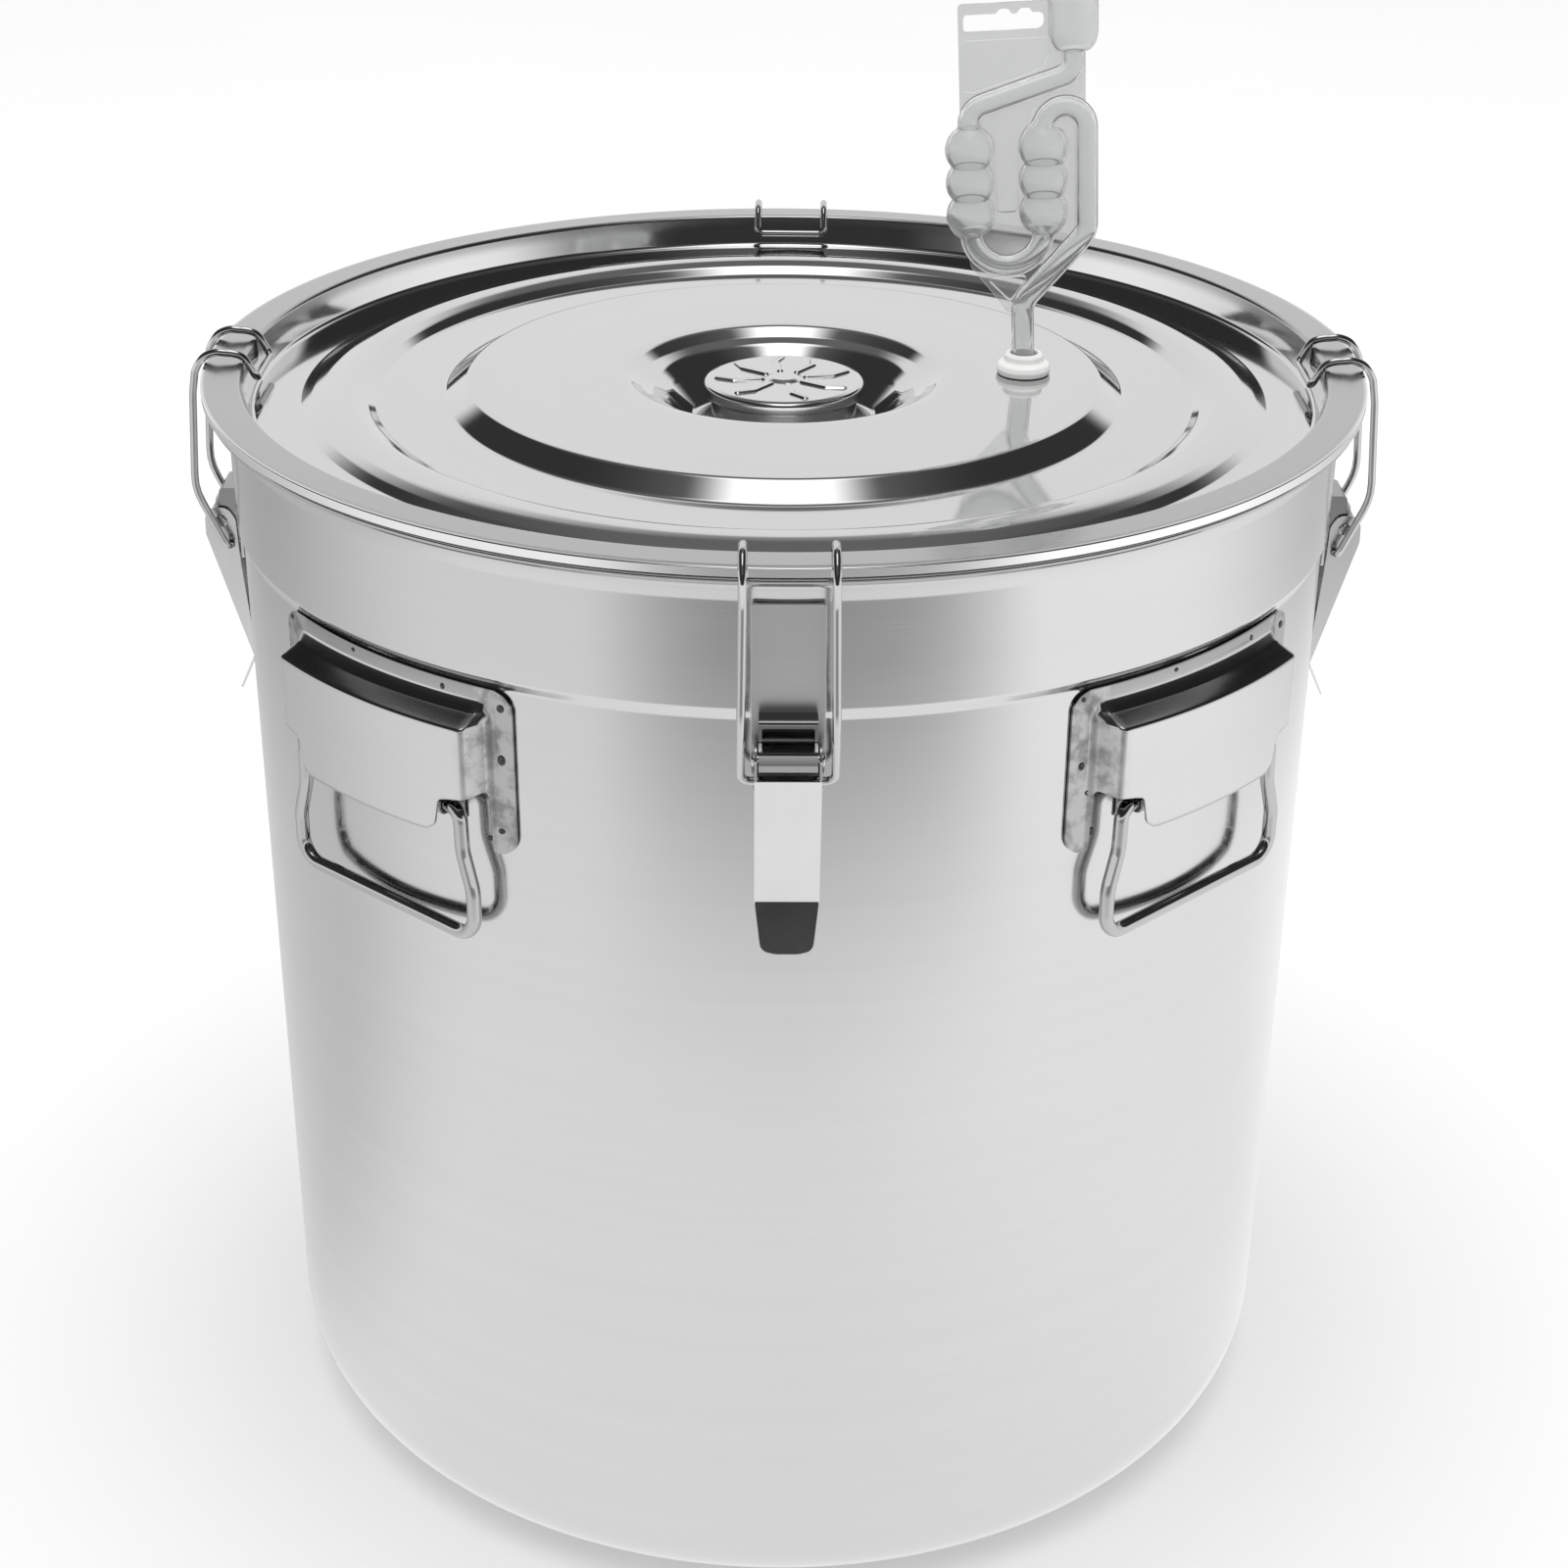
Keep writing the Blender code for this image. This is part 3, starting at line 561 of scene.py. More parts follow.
def lid():
    top = flat(LID_TOP, LID_RADII, 10)
    shell = lathe("lid", top + sheet_below(top, SHEET)[::-1], True, SMOOTH_STEPS)
    hole = sweep("airlock_hole", [(AIRLOCK_X, 0, -14), (AIRLOCK_X, 0, 3)], 6.8, 48)
    combine(shell, hole, "DIFFERENCE")
    done(shell, "lid", MIRROR, "lid", ["lid_shell"])
    ring = flat([(200.0, -1.0), (200.0, -0.1), (208.4, -0.1), (208.4, -2.2), (200.0, -2.2),
                 (200.0, -1.0)], [0, 0.4, 0.5, 0.5, 0.4, 0], 3)
    done(lathe("gasket", ring[:-1], True, 192), "gasket", SILICONE, "lid",
         ["lid_gasket"])


def vent():
    neck = [(19.0, -20.0), (19.0, -12.2), (26.8, -12.2), (27.0, -13.2), (27.0, -22.2), (30.0, -23.0),
            (30.0, -24.3), (23.6, -24.3), (23.6, -33.5), (19.0, -33.5), (19.0, -20.0)]
    neck = flat(neck, [0, 0.4, 0.5, 0.5, 1.2, 0.4, 0.2, 0.2, 0.5, 0.4, 0], 3)
    done(lathe("vent_neck", neck[:-1], True, 128), "vent_collar", CAP_SKIN, "lid",
         ["vent_neck"])
    seal = flat([(9.0, -10.5), (9.0, -9.5), (26.4, -9.5), (26.4, -11.9), (9.0, -11.9), (9.0, -10.5)],
                [0, 0.4, 0.6, 0.6, 0.4, 0], 3)
    done(lathe("vent_washer", seal[:-1], True, 96), "vent_washer", SILICONE, "cap",
         ["vent_seal"])
    corners = [(34 * math.cos(math.radians(60 * k)), 34 * math.sin(math.radians(60 * k)), 0)
               for k in range(6)]
    outline = loop_fillet(corners, 1.5, 6)
    count = len(outline)
    spots = [(p.x, p.y, -31.1) for p in outline] + [(p.x, p.y, -26.1) for p in outline]
    faces = [tuple(range(count)), tuple(range(count, 2 * count))]
    faces += [(i, (i + 1) % count, count + (i + 1) % count, count + i) for i in range(count)]
    nut = mesh_object("vent_ring_nut", spots, faces)
    combine(nut, sweep("nut_bore", [(0, 0, -40), (0, 0, -20)], 24.0, 96), "DIFFERENCE")
    soften(nut, 0.5)
    done(nut, "vent_ring_nut", CAP_SKIN, "lid", ["vent_nut"])


CAP_RIBS = 8
RIB_TURN = 10.0       # degrees from +X to the first rib
RIB_BEND = 15.0       # how far each tip leans from its rib
RIB_HIGH = 0.75
RIB_HALF = 1.5        # half a rib's width at its foot
RIB_SLOPE = 0.8       # how wide its flank is
RIB_FIELD = (7.0, 27.4)      # radii that the ribs lie between
RIB_DENSE = (6.5, 27.6)      # radii between which the face has close rings, for the ribs to rise from
CAP_FACE_Z = -8.6     # what is higher than this on the cap is its face


def nearest(px, py, ax, ay, bx, by):
    """Distance from a point to a segment."""
    dx, dy = bx - ax, by - ay
    t = part_of((px - ax) * dx + (py - ay) * dy, dx * dx + dy * dy)
    return math.hypot(px - ax - t * dx, py - ay - t * dy)


def cap():
    top = [(0.0, -7.3), (4.8, -7.3), (7.0, -8.2), (27.4, -8.2), (29.8, -8.9), (29.8, -12.8),
           (28.9, -13.4), (28.1, -13.4), (28.0, -11.0), (27.0, -9.3), (10.0, -9.3), (0.0, -9.3)]
    radii = [0, 2.5, 1.5, 2.5, 1.5, 0.8, 0.35, 0.3, 1.0, 1.0, 0, 0]
    profile = flat(top, radii, 8)
    dense = []
    for one, two in zip(profile, profile[1:]):
        dense.append(one)
        if RIB_DENSE[0] <= one[0] < two[0] <= RIB_DENSE[1] and one[1] > CAP_FACE_Z:
            pieces = int((two[0] - one[0]) / 0.3)
            for k in range(1, pieces):
                t = k / pieces
                dense.append((one[0] + (two[0] - one[0]) * t, one[1] + (two[1] - one[1]) * t))
    dense.append(profile[-1])
    item = lathe("cap", dense, False, 360)
    ribs = []
    for k in range(CAP_RIBS):
        turn = math.radians(RIB_TURN + 360.0 / CAP_RIBS * k)
        lean = math.radians(RIB_BEND) * (1 if math.cos(turn) > 0 else -1)
        spots = [(8.4, turn), (18.8, turn), (24.6, turn + lean * 0.55)]
        ribs.append([(r * math.cos(a), r * math.sin(a)) for r, a in spots])
    for spot in item.data.vertices:
        x, y, z = spot.co / MM
        r = math.hypot(x, y)
        if z < CAP_FACE_Z or not RIB_FIELD[0] < r < RIB_FIELD[1]:
            continue
        gap = min(nearest(x, y, *a, *b) for rib in ribs for a, b in zip(rib, rib[1:]))
        if gap < RIB_HALF:
            t = part_of(RIB_HALF - gap, RIB_SLOPE)
            spot.co.z += RIB_HIGH * MM * t * t * (3 - 2 * t)
    done(item, "cap", CAP_SKIN, "cap", ["vent_cap"], sharp=60.0)


# --- airlock ------------------------------------------------------------------------
STEM_LOW, STEM_LEAN_Z = -24.0, -3.5
TUBE_R = 4.1
TUBE_WALL = 1.2
BULB_R = 8.8
BULB_HEIGHTS = (54.6, 66.4, 78.2)
RIGHT_X, LEFT_X, OUTER_X = 8.0, -18.2, 23.5
CUP_X, CUP_R = 19.0, 8.8


def circle(cx, cz, radius, first, last, count):
    spots = []
    for k in range(count + 1):
        a = math.radians(first + (last - first) * k / count)
        spots.append((cx + radius * math.cos(a), 0.0, cz + radius * math.sin(a)))
    return spots


BULB_STEPS = (5.9, 5.4, 4.6, 3.6, 2.4, 1.2, 0.0, -1.2, -2.4, -3.6, -4.6, -5.4)
TURN_HIGH, TURN_LOW = 84.2, 48.4      # centres of the bend above and the bend below the bulbs


def tube_size(spot):
    """The tube swells into a ball round each bulb centre."""
    size = TUBE_R
    for x in (RIGHT_X, LEFT_X):
        for z in BULB_HEIGHTS:
            gap = math.hypot(spot.x - x, spot.z - z)
            if gap < BULB_R:
                size = max(size, math.sqrt(BULB_R ** 2 - gap ** 2))
    return size


def airlock_route():
    """(centre, radius) along the tube, from the foot of the stem to the mouth of the cup."""
    path = fillet([(0, 0, STEM_LOW), (0, 0, 21.8), (OUTER_X, 0, 46.4), (OUTER_X, 0, TURN_HIGH)],
                  [0, 9.0, 9.0, 0], 8)
    path += circle((OUTER_X + RIGHT_X) / 2, TURN_HIGH, (OUTER_X - RIGHT_X) / 2, 0, 180, 16)[1:]
    heights = [z + step for z in reversed(BULB_HEIGHTS) for step in BULB_STEPS] + [TURN_LOW + 0.3]
    heights = [z for z in heights if TURN_LOW + 0.2 < z < TURN_HIGH - 0.1]
    path += [(RIGHT_X, 0, z) for z in heights]
    path += circle((RIGHT_X + LEFT_X) / 2, TURN_LOW, (RIGHT_X - LEFT_X) / 2, 0, -180, 26)
    path += [(LEFT_X, 0, z) for z in reversed(heights)]
    path += [(LEFT_X, 0, z) for z in (84.9, 85.5, 86.0)]
    path += fillet([(LEFT_X, 0, 78.0), (LEFT_X, 0, 92.4), (CUP_X, 0, 103.6), (CUP_X, 0, 120.0)],
                   [0, 6.8, 6.0, 0], 8)[1:-1]
    path.append((CUP_X, 0, 111.2))
    route = [(Vector(p), tube_size(Vector(p))) for p in path]
    for k in range(1, 11):
        a = math.pi / 2 * k / 10
        route.append((Vector((CUP_X, 0, 111.2 + 7.6 * (1 - math.cos(a)))),
                      TUBE_R + (CUP_R - TUBE_R) * math.sin(a)))
    route += [(Vector((CUP_X, 0, z)), CUP_R + extra) for z, extra in ((128.4, 0), (128.7, 0.3), (130.0, 0.3))]
    return route


def along_route(name, route, change, sides):
    sizes = []
    kept = []
    for i, (spot, size) in enumerate(route):
        if i and (spot - kept[-1]).length < 0.15:
            continue
        kept.append(spot)
        sizes.append(size + change)
    return sweep(name, kept, lambda i: sizes[i], sides)


WEB = [
    (-21.4, 129.0), (-21.4, 52.0), (-18.8, 36.0), (-4.4, 17.0), (-0.6, 20.0), (3.2, 26.6),
    (18.0, 41.6), (22.2, 46.6), (22.2, 84.0), (23.1, 92.0), (23.1, 111.0), (12.0, 116.0),
    (12.0, 129.0),
]
SLOT = [
    (-19.6, 119.4), (8.6, 119.4), (8.6, 125.2), (4.6, 125.2), (3.6, 126.8), (0.6, 126.8),
    (-1.0, 125.0), (-2.6, 125.0), (-3.8, 126.8), (-6.8, 126.8), (-8.2, 125.2), (-19.6, 125.2),
]
SLOT_RADII = [2.7, 2.7, 2.7, 0.8, 1.2, 1.2, 0.7, 0.7, 1.2, 1.2, 0.8, 2.7]
RIDGES = (
    ([(-19.9, 116.6), (-19.9, 99.0), (-16.4, 98.6), (1.6, 103.9), (8.2, 106.4), (9.9, 110.6),
      (9.9, 116.6)], 1.2),
    ([(-10.6, 87.6), (-12.6, 90.2), (6.2, 95.8), (3.0, 87.4), (-0.6, 78.0), (-1.4, 55.0),
      (-8.8, 55.0), (-9.6, 78.0)], 1.5),
    ([(-13.2, 31.4), (2.6, 31.4), (-4.4, 22.2)], 1.2),
    ([(12.6, 76.0), (16.4, 80.6), (18.0, 76.0), (15.4, 70.8)], 1.0),
    ([(17.0, 99.4), (21.4, 101.6), (21.4, 96.6), (18.6, 95.0)], 0.8),
)
LEAN = math.atan2(-JOINTS["airlock_pull"]["axis"][0], JOINTS["airlock_pull"]["axis"][2])


def airlock():
    route = airlock_route()
    body = along_route("airlock", route, 0.0, 28)
    web = prism("web", WEB, 0.6, 1.5, cuts=4)
    combine(web, prism("slot", SLOT, 3.0, SLOT_RADII, cuts=5), "DIFFERENCE")
    for points, radius in RIDGES:
        closed = loop_fillet([(x, 0.62, z) for x, z in points], radius, 4)
        for side in (1, -1):
            spots = [Vector((p.x, p.y * side, p.z)) for p in closed]
            ridge = ring_bar("ridge", spots, 0.28)
            combine(web, ridge, "UNION")
    combine(body, web, "UNION")
    inner = [(spot.copy(), size) for spot, size in route]
    inner[0][0].z -= 2.0
    inner[-1][0].z += 2.0
    combine(body, along_route("bore", inner, -TUBE_WALL, 20), "DIFFERENCE")
    body.data.transform(Matrix.Translation((0, 0, -STEM_LEAN_Z * MM)))
    place = (
        Matrix.Translation((AXIS_X + AIRLOCK_X * MM, AXIS_Y, (RIM_Z + STEM_LEAN_Z) * MM))
        @ Matrix.Rotation(-LEAN, 4, "Y")
    )
    done(body, "bubbler_airlock", CLEAR, "bubbler", ["airlock"], place, 50.0)


def ring_bar(name, points, radius, sides=6):
    """A round bar round a closed loop of points."""
    points = [p for i, p in enumerate(points) if (p - points[i - 1]).length > 0.05]
    count = len(points)
    spots, faces = [], []
    for i, here in enumerate(points):
        along = (points[(i + 1) % count] - points[i - 1]).normalized()
        across = Vector((0, 1, 0))
        side = along.cross(across).normalized()
        for k in range(sides):
            a = math.tau * k / sides
            spots.append(here + (across * math.cos(a) + side * math.sin(a)) * radius)
    for i in range(count):
        j = (i + 1) % count
        for k in range(sides):
            m = (k + 1) % sides
            faces.append((i * sides + k, i * sides + m, j * sides + m, j * sides + k))
    return mesh_object(name, spots, faces)


def grommet():
    ring = [(4.9, -3.0), (4.9, 2.6), (6.4, 2.6), (7.2, 1.6), (7.2, -0.4), (9.4, -1.4), (10.0, -3.2),
            (9.6, -5.0), (6.5, -5.0), (6.5, -6.7), (8.0, -6.7), (7.4, -9.6), (4.9, -9.6), (4.9, -3.0)]
    ring = flat(ring, [0, 0.5, 0.8, 0.8, 1.0, 1.0, 1.0, 0.2, 0.1, 0.1, 0.4, 0.5, 0.4, 0], 5)
    place = Matrix.Translation((AXIS_X + AIRLOCK_X * MM, AXIS_Y, RIM_Z * MM))
    done(lathe("grommet", ring[:-1], True, 96), "grommet", SILICONE, "lid",
         ["airlock_grommet"], place)


# --- latches ------------------------------------------------------------------------
LEVER_X, LEVER_Z = 211.4, -62.5       # the lever's pin, out from the axis and from the lid edge
BAIL_X, BAIL_Z = 208.4, -71.5         # the bail's feet
LEVER_HALF = 10.5
SIDES = ("front", "right", "back", "left")


def facing(name, outline, low, high, rounding):
    """An outline in (along the rim, height), as thick as low to high outwards."""
    item = prism(name, outline, (high - low) / 2, rounding)
    item.data.transform(Matrix.Translation(((low + high) / 2 * MM, 0, 0))
                        @ Matrix.Rotation(math.pi / 2, 4, "Z"))
    return item


def latch_plate():
    plate = facing("plate", [(-11.6, -77.0), (11.6, -77.0), (11.6, -13.4), (-11.6, -13.4)],
                   203.3, 204.5, 1.2)
    return soften(plate, 0.3)


def latch_bracket():
    cheek = [
        (204.8, -49.6), (211.4, -49.6), (211.9, -56.5), (215.4, -58.6), (216.1, -62.5),
        (215.4, -66.2), (212.0, -67.4), (207.0, -68.6), (204.8, -72.0),
    ]
    bracket = prism("bracket", cheek, 9.2, [0.3, 1.6, 1.2, 2.2, 2.6, 2.2, 1.5, 2.0, 0.3])
    hollow = [
        (205.8, -50.7), (210.4, -50.7), (210.8, -57.2), (214.0, -59.4), (214.9, -62.5),
        (213.8, -75.0), (205.8, -75.0),
    ]
    combine(bracket, prism("hollow", hollow, 8.2, [0.6, 0.6, 1.0, 1.4, 1.6, 0.4, 0.4]), "DIFFERENCE")
    combine(bracket, facing("window", [(-8.2, -58.6), (8.2, -58.6), (8.2, -52.0), (-8.2, -52.0)],
                            206.4, 222.0, 0.6), "DIFFERENCE")
    combine(bracket, bar("hole", LEVER_X, LEVER_Z, 12.0, 1.8, 24), "DIFFERENCE")
    return soften(bracket, 0.22)


def latch_pin():
    path = [-11.8, -11.5, -11.0, -10.7, -10.7, 10.7, 10.7, 11.0, 11.5, 11.8]
    sizes = [1.6, 2.2, 2.4, 2.4, 1.5, 1.5, 2.4, 2.4, 2.2, 1.6]
    nudge = [0, 0, 0, 0, 0.03, -0.03, 0, 0, 0, 0]
    spots = [(LEVER_X, y + n, LEVER_Z) for y, n in zip(path, nudge)]
    return sweep("pin", spots, lambda i: sizes[i], 28)


def on_face_fold(one, two):
    """True for the long folds where the lever's face turns into its cheeks."""
    for spot in (one, two):
        t = (spot.z + 67.5) / (-118.0 + 67.5)
        front = 217.5 + (203.2 - 217.5) * t
        if not (-0.02 < t < 1.02) or abs(spot.x - front) > 0.1 or abs(spot.y) < 10.3:
            return False
    return True


def latch_lever():
    wedge = [
        (217.5, -67.5), (217.3, -60.6), (214.6, -56.9), (208.8, -57.0), (205.9, -61.5),
        (205.6, -72.0), (205.3, -79.5), (204.4, -90.0), (203.1, -106.0), (202.4, -117.4),
        (203.2, -118.0),
    ]
    lever = prism("lever", wedge, LEVER_HALF, [0.2, 3.4, 3.6, 4.2, 5.0, 6.0, 6.0, 0, 0, 0.1, 0.1], cuts=8)
    inner = [(216.6, -67.3), (230.0, -67.3), (230.0, -40.0), (190.0, -40.0), (190.0, -116.5), (202.7, -116.5)]
    combine(lever, prism("inside", inner, LEVER_HALF - 0.8), "DIFFERENCE")
    for x, z, size in ((LEVER_X, LEVER_Z, 1.8), (BAIL_X, BAIL_Z, 1.7)):
        combine(lever, bar("hole", x, z, 14.0, size, 24), "DIFFERENCE")
    soften(lever, 0.22, strong=on_face_fold, strong_width=0.75)
    tab = facing("tab", [(-10.3, 0.0), (10.3, 0.0), (10.3, -1.5), (8.5, -16.3), (3.6, -17.4), (-3.6, -17.4),
                         (-8.5, -16.3), (-10.3, -1.5)], -0.4, 0.4, [0, 0, 3.0, 3.2, 5.0, 5.0, 3.2, 3.0])
    soften(tab, 0.22)
    tab.data.transform(Matrix.Translation((202.9 * MM, 0, -117.2 * MM))
                       @ Matrix.Rotation(-math.atan2(7.3, 16.0), 4, "Y"))
    return combine(lever, tab, "UNION")


def latch_bail():
    half = [
        (BAIL_X, 8.2, BAIL_Z), (BAIL_X, 14.9, BAIL_Z), (219.0, 14.7, -48.0), (216.6, 14.2, -11.0),
        (215.2, 14.2, -3.0), (211.8, 14.2, 2.4), (207.4, 14.2, 4.5), (203.6, 14.2, 4.4),
        (200.4, 14.2, 4.1), (197.4, 14.2, 3.0), (195.2, 14.2, 0.0), (192.6, 14.2, -5.2),
        (192.6, 0.0, -5.2),
    ]
    legs = fillet(half[:5], [0, 3.2, 22.0, 30.0, 0], 8)[:-1]
    arch = smooth_path(half[3:12], 5)[5:]
    corner = fillet([half[10], half[11], half[12]], 2.6, 8)[1:-1]
    arch = [p for p in arch if (p - corner[0]).length > 2.2 and p.z > corner[0].z + 0.4 or p.x > 196.0]
    one = legs + arch + corner
    one = [p for i, p in enumerate(one) if i == 0 or (p - one[i - 1]).length > 0.25]
    two = [Vector((p.x, -p.y, p.z)) for p in reversed(one)]
    return sweep("bail", one + two, 1.4, 18)


def latches():
    templates = (
        (latch_plate(), "plate", PLATE_SKIN, "pressed_steel", "can"),
        (latch_bracket(), "bracket", BRACKET_PAINTED_SHADE_SKIN, "pressed_steel", "can"),
        (latch_pin(), "pin", WIRE_SKIN, "pressed_steel", "can"),
        (latch_lever(), "lever", LEVER_SKIN, "pressed_steel", "lever_"),
        (latch_bail(), "bail", WIRE_SKIN, "spring_wire", "bail_"),
    )
    for side in SIDES:
        place = station("lever_%s_hinge" % side)
        for item, part, skin, slot_name, body in templates:
            body_name = body if body == "can" else body + side
            done(copy_of(item, "piece"), "clamp_%s_%s" % (side, part), skin, body_name,
                 ["latch_%s_%s" % (side, part)], place, 60.0 if part in ("bail", "pin") else 35.0)
    for item, *_ in templates:
        bpy.data.objects.remove(item, do_unlink=True)


# --- handles ------------------------------------------------------------------------
HANDLES = ("front_left", "front_right", "back_right", "back_left")
HANDLE_X, HANDLE_Z = 204.5, -96.5
COVER_R = 202.3        # outside of the flange on the drum
COVER_RISE = 10.6
COVER_HALF = 56.6      # half length along the drum
COVER_TOP, COVER_LOW, FACE_LOW = -54.4, -112.9, -104.7
CORNER = 7.0
TAIL_ROWS = 22         # rows from the flat face to the foot
# how far the cover stands off its flange: by depth below the lid's edge, and by distance from its middle
RISE_DOWN = flat([(54.4, 0.0), (59.0, 0.0), (62.4, 2.9), (65.6, COVER_RISE), (74.0, COVER_RISE)],
                 [0, 2.4, 3.8, 1.5, 0], 10)
RISE_ACROSS = flat([(30.0, COVER_RISE), (43.6, COVER_RISE), (47.6, 0.0), (56.6, 0.0)],
                   [0, 3.0, 3.4, 0], 12)
# painted shade on the steel by depth below the lid's edge, dark on the top strip and in the scoop; and how
# low the cover reaches by distance from its middle
PAINTED_SHADE_DOWN = ((54.4, 0.66), (58.3, 0.50), (59.3, 0.0), (60.6, 0.7), (64.4, 0.95), (65.9, 0.5), (66.6, 0.0))
FOOT = flat([(20.0, FACE_LOW), (31.4, FACE_LOW), (33.6, -92.4), (37.5, -91.4), (46.6, -89.8),
             (47.4, -92.0), (47.8, COVER_LOW), (60.0, COVER_LOW)],
            [0, 5.0, 2.6, 2.0, 0.8, 0.2, 1.5, 0], 8)
WELDS = (      # along the drum in degrees, height, and how large and deep it is
    (14.6, -60.0, 1.0), (14.5, -78.4, 0.95), (14.2, -104.4, 0.95), (12.9, -108.0, 0.8), (8.2, -57.1, 0.6),
    (-3.6, -55.9, 0.6), (-14.7, -57.0, 0.7), (-14.5, -80.9, 0.95), (-13.6, -91.1, 0.8), (-13.0, -105.8, 0.95),
)


def level(points, at):
    """The height of a profile at a place along it."""
    if at <= points[0][0]:
        return points[0][1]
    for (a, h), (b, k) in zip(points, points[1:]):
        if a <= at <= b and b > a:
            return h + (k - h) * (at - a) / (b - a)
    return points[-1][1]


def spread(marks, gap):
    """The marks with no two further apart than gap."""
    marks = sorted(marks)
    out = [marks[0]]
    for one, two in zip(marks, marks[1:]):
        if two - out[-1] < 0.08:
            continue
        pieces = max(1, math.ceil((two - one) / gap))
        out += [one + (two - one) * (k + 1) / pieces for k in range(pieces)]
    return out


def rounding_of(distance):
    """How far a corner pulls the edge in, this far from the side."""
    if distance >= CORNER:
        return 0.0
    return CORNER - math.sqrt(max(0.0, CORNER ** 2 - (CORNER - distance) ** 2))


def handle_cover():
    """The pressing as a grid of columns round the drum and rows downwards, made into sheet."""
    half = [p[0] for p in RISE_ACROSS if p[0] > 31] + [p[0] for p in FOOT if 31 < p[0] < COVER_HALF]
    half += [COVER_HALF - CORNER + CORNER * math.sin(math.pi / 2 * k / 8) for k in range(9)]
    half = spread([0.0] + half + [COVER_HALF], 2.6)
    columns = [-d for d in reversed(half[1:])] + half
    downs = spread([p[0] for p in RISE_DOWN], 0.8)
    downs = [d for d in downs if d <= 70.0] + [74.0, 78.0]
    tail = [k / TAIL_ROWS for k in range(1, TAIL_ROWS + 1)]
    spots, faces, wear, painted_shade = [], [], [], []
    for d in columns:
        reach = abs(d)
        pull = rounding_of(COVER_HALF - reach)
        foot = level(FOOT, reach) + pull
        across = level(RISE_ACROSS, reach) / COVER_RISE
        angle = d / (COVER_R + 3.0)
        heights = [-max(down, -COVER_TOP + pull) for down in downs]
        last = heights[-1]
        heights += [last + (foot - last) * t for t in tail]
        for k, z in enumerate(heights):
            rise = level(RISE_DOWN, -z) * across
            edge = part_of(reach - 40.0, 6.0)
            r = COVER_R + rise
            spots.append((r * math.cos(angle), r * math.sin(angle), z))
            wear.append(edge * (0.9 if rise < COVER_RISE - 0.4 else 0.25))
            # painted shade: only towards the cover's middle, by depth, and on the last row a thin painted
            # dark line along the foot
            inner = part_of(44.5 - reach, 3.0)
            painted_shade.append(inner * (0.55 if k == len(heights) - 1 else level(PAINTED_SHADE_DOWN, -z)))
    rows = len(downs) + len(tail)
    for i in range(len(columns) - 1):
        for j in range(rows - 1):
            one = i * rows + j
            faces.append((one, one + 1, one + rows + 1, one + rows))
    mesh = bpy.data.meshes.new("cover")
    mesh.from_pydata([tuple(Vector(s) * MM) for s in spots], [], faces)
    mark = mesh.attributes.new("wear", "FLOAT", "POINT")
    mark.data.foreach_set("value", wear)
    mark = mesh.attributes.new("painted_shade", "FLOAT", "POINT")
    mark.data.foreach_set("value", painted_shade)
    bm = bmesh.new()
    bm.from_mesh(mesh)
    bmesh.ops.remove_doubles(bm, verts=bm.verts, dist=0.00003)
    bmesh.ops.dissolve_degenerate(bm, edges=bm.edges, dist=0.00002)
    bmesh.ops.recalc_face_normals(bm, faces=bm.faces)
    if sum(face.normal.x * face.calc_area() for face in bm.faces) < 0:
        bmesh.ops.reverse_faces(bm, faces=bm.faces)
    bm.to_mesh(mesh)
    bm.free()
    item = bpy.data.objects.new("cover", mesh)
    bpy.context.scene.collection.objects.link(item)
    thick = item.modifiers.new("sheet", "SOLIDIFY")
    thick.thickness = SHEET * MM
    thick.offset = -1.0
    thick.use_even_offset = True
    return baked(item)


def handle_hinge():
    spots, faces = [], []
    steps = 24
    for k in range(steps + 1):
        a = math.radians(-10.0 + 20.0 * k / steps)
        for r, z in ((201.4, -103.5), (202.3, -103.5), (202.3, -89.5), (201.4, -89.5)):
            spots.append((r * math.cos(a), r * math.sin(a), z))
    for k in range(steps):
        for j in range(4):
            m = (j + 1) % 4
            faces.append((4 * k + j, 4 * k + m, 4 * k + 4 + m, 4 * k + 4 + j))
    faces += [(0, 1, 2, 3), tuple(4 * steps + j for j in range(4))]
    hinge = mesh_object("hinge", spots, faces)
    for end in (-1, 1):
        combine(hinge, bar("eye", HANDLE_X, HANDLE_Z, 4.0, 3.9, 36, end * 29.0), "UNION")
    combine(hinge, bar("hole", HANDLE_X, HANDLE_Z, 60.0, 2.8, 36), "DIFFERENCE")
    return hinge


def handle_bail():
    half = [(HANDLE_X, 23.4, HANDLE_Z), (HANDLE_X, 39.0, HANDLE_Z), (HANDLE_X, 39.4, -112.0),
            (HANDLE_X, 43.6, -125.5), (HANDLE_X, 43.6, -143.2), (HANDLE_X, 0.0, -143.2)]
    one = fillet(half, [0, 5.0, 18.0, 16.0, 13.5, 0], 12)[:-1]
    two = [Vector((p.x, -p.y, p.z)) for p in reversed(one)]
    tip = [Vector((HANDLE_X, 23.9, HANDLE_Z))]
    path = [one[0]] + tip + one[1:] + two[:-1] + [Vector((HANDLE_X, -23.9, HANDLE_Z)), two[-1]]
    count = len(path)
    return sweep("bail", path, lambda i: 2.0 if i in (0, count - 1) else 2.5, 28)


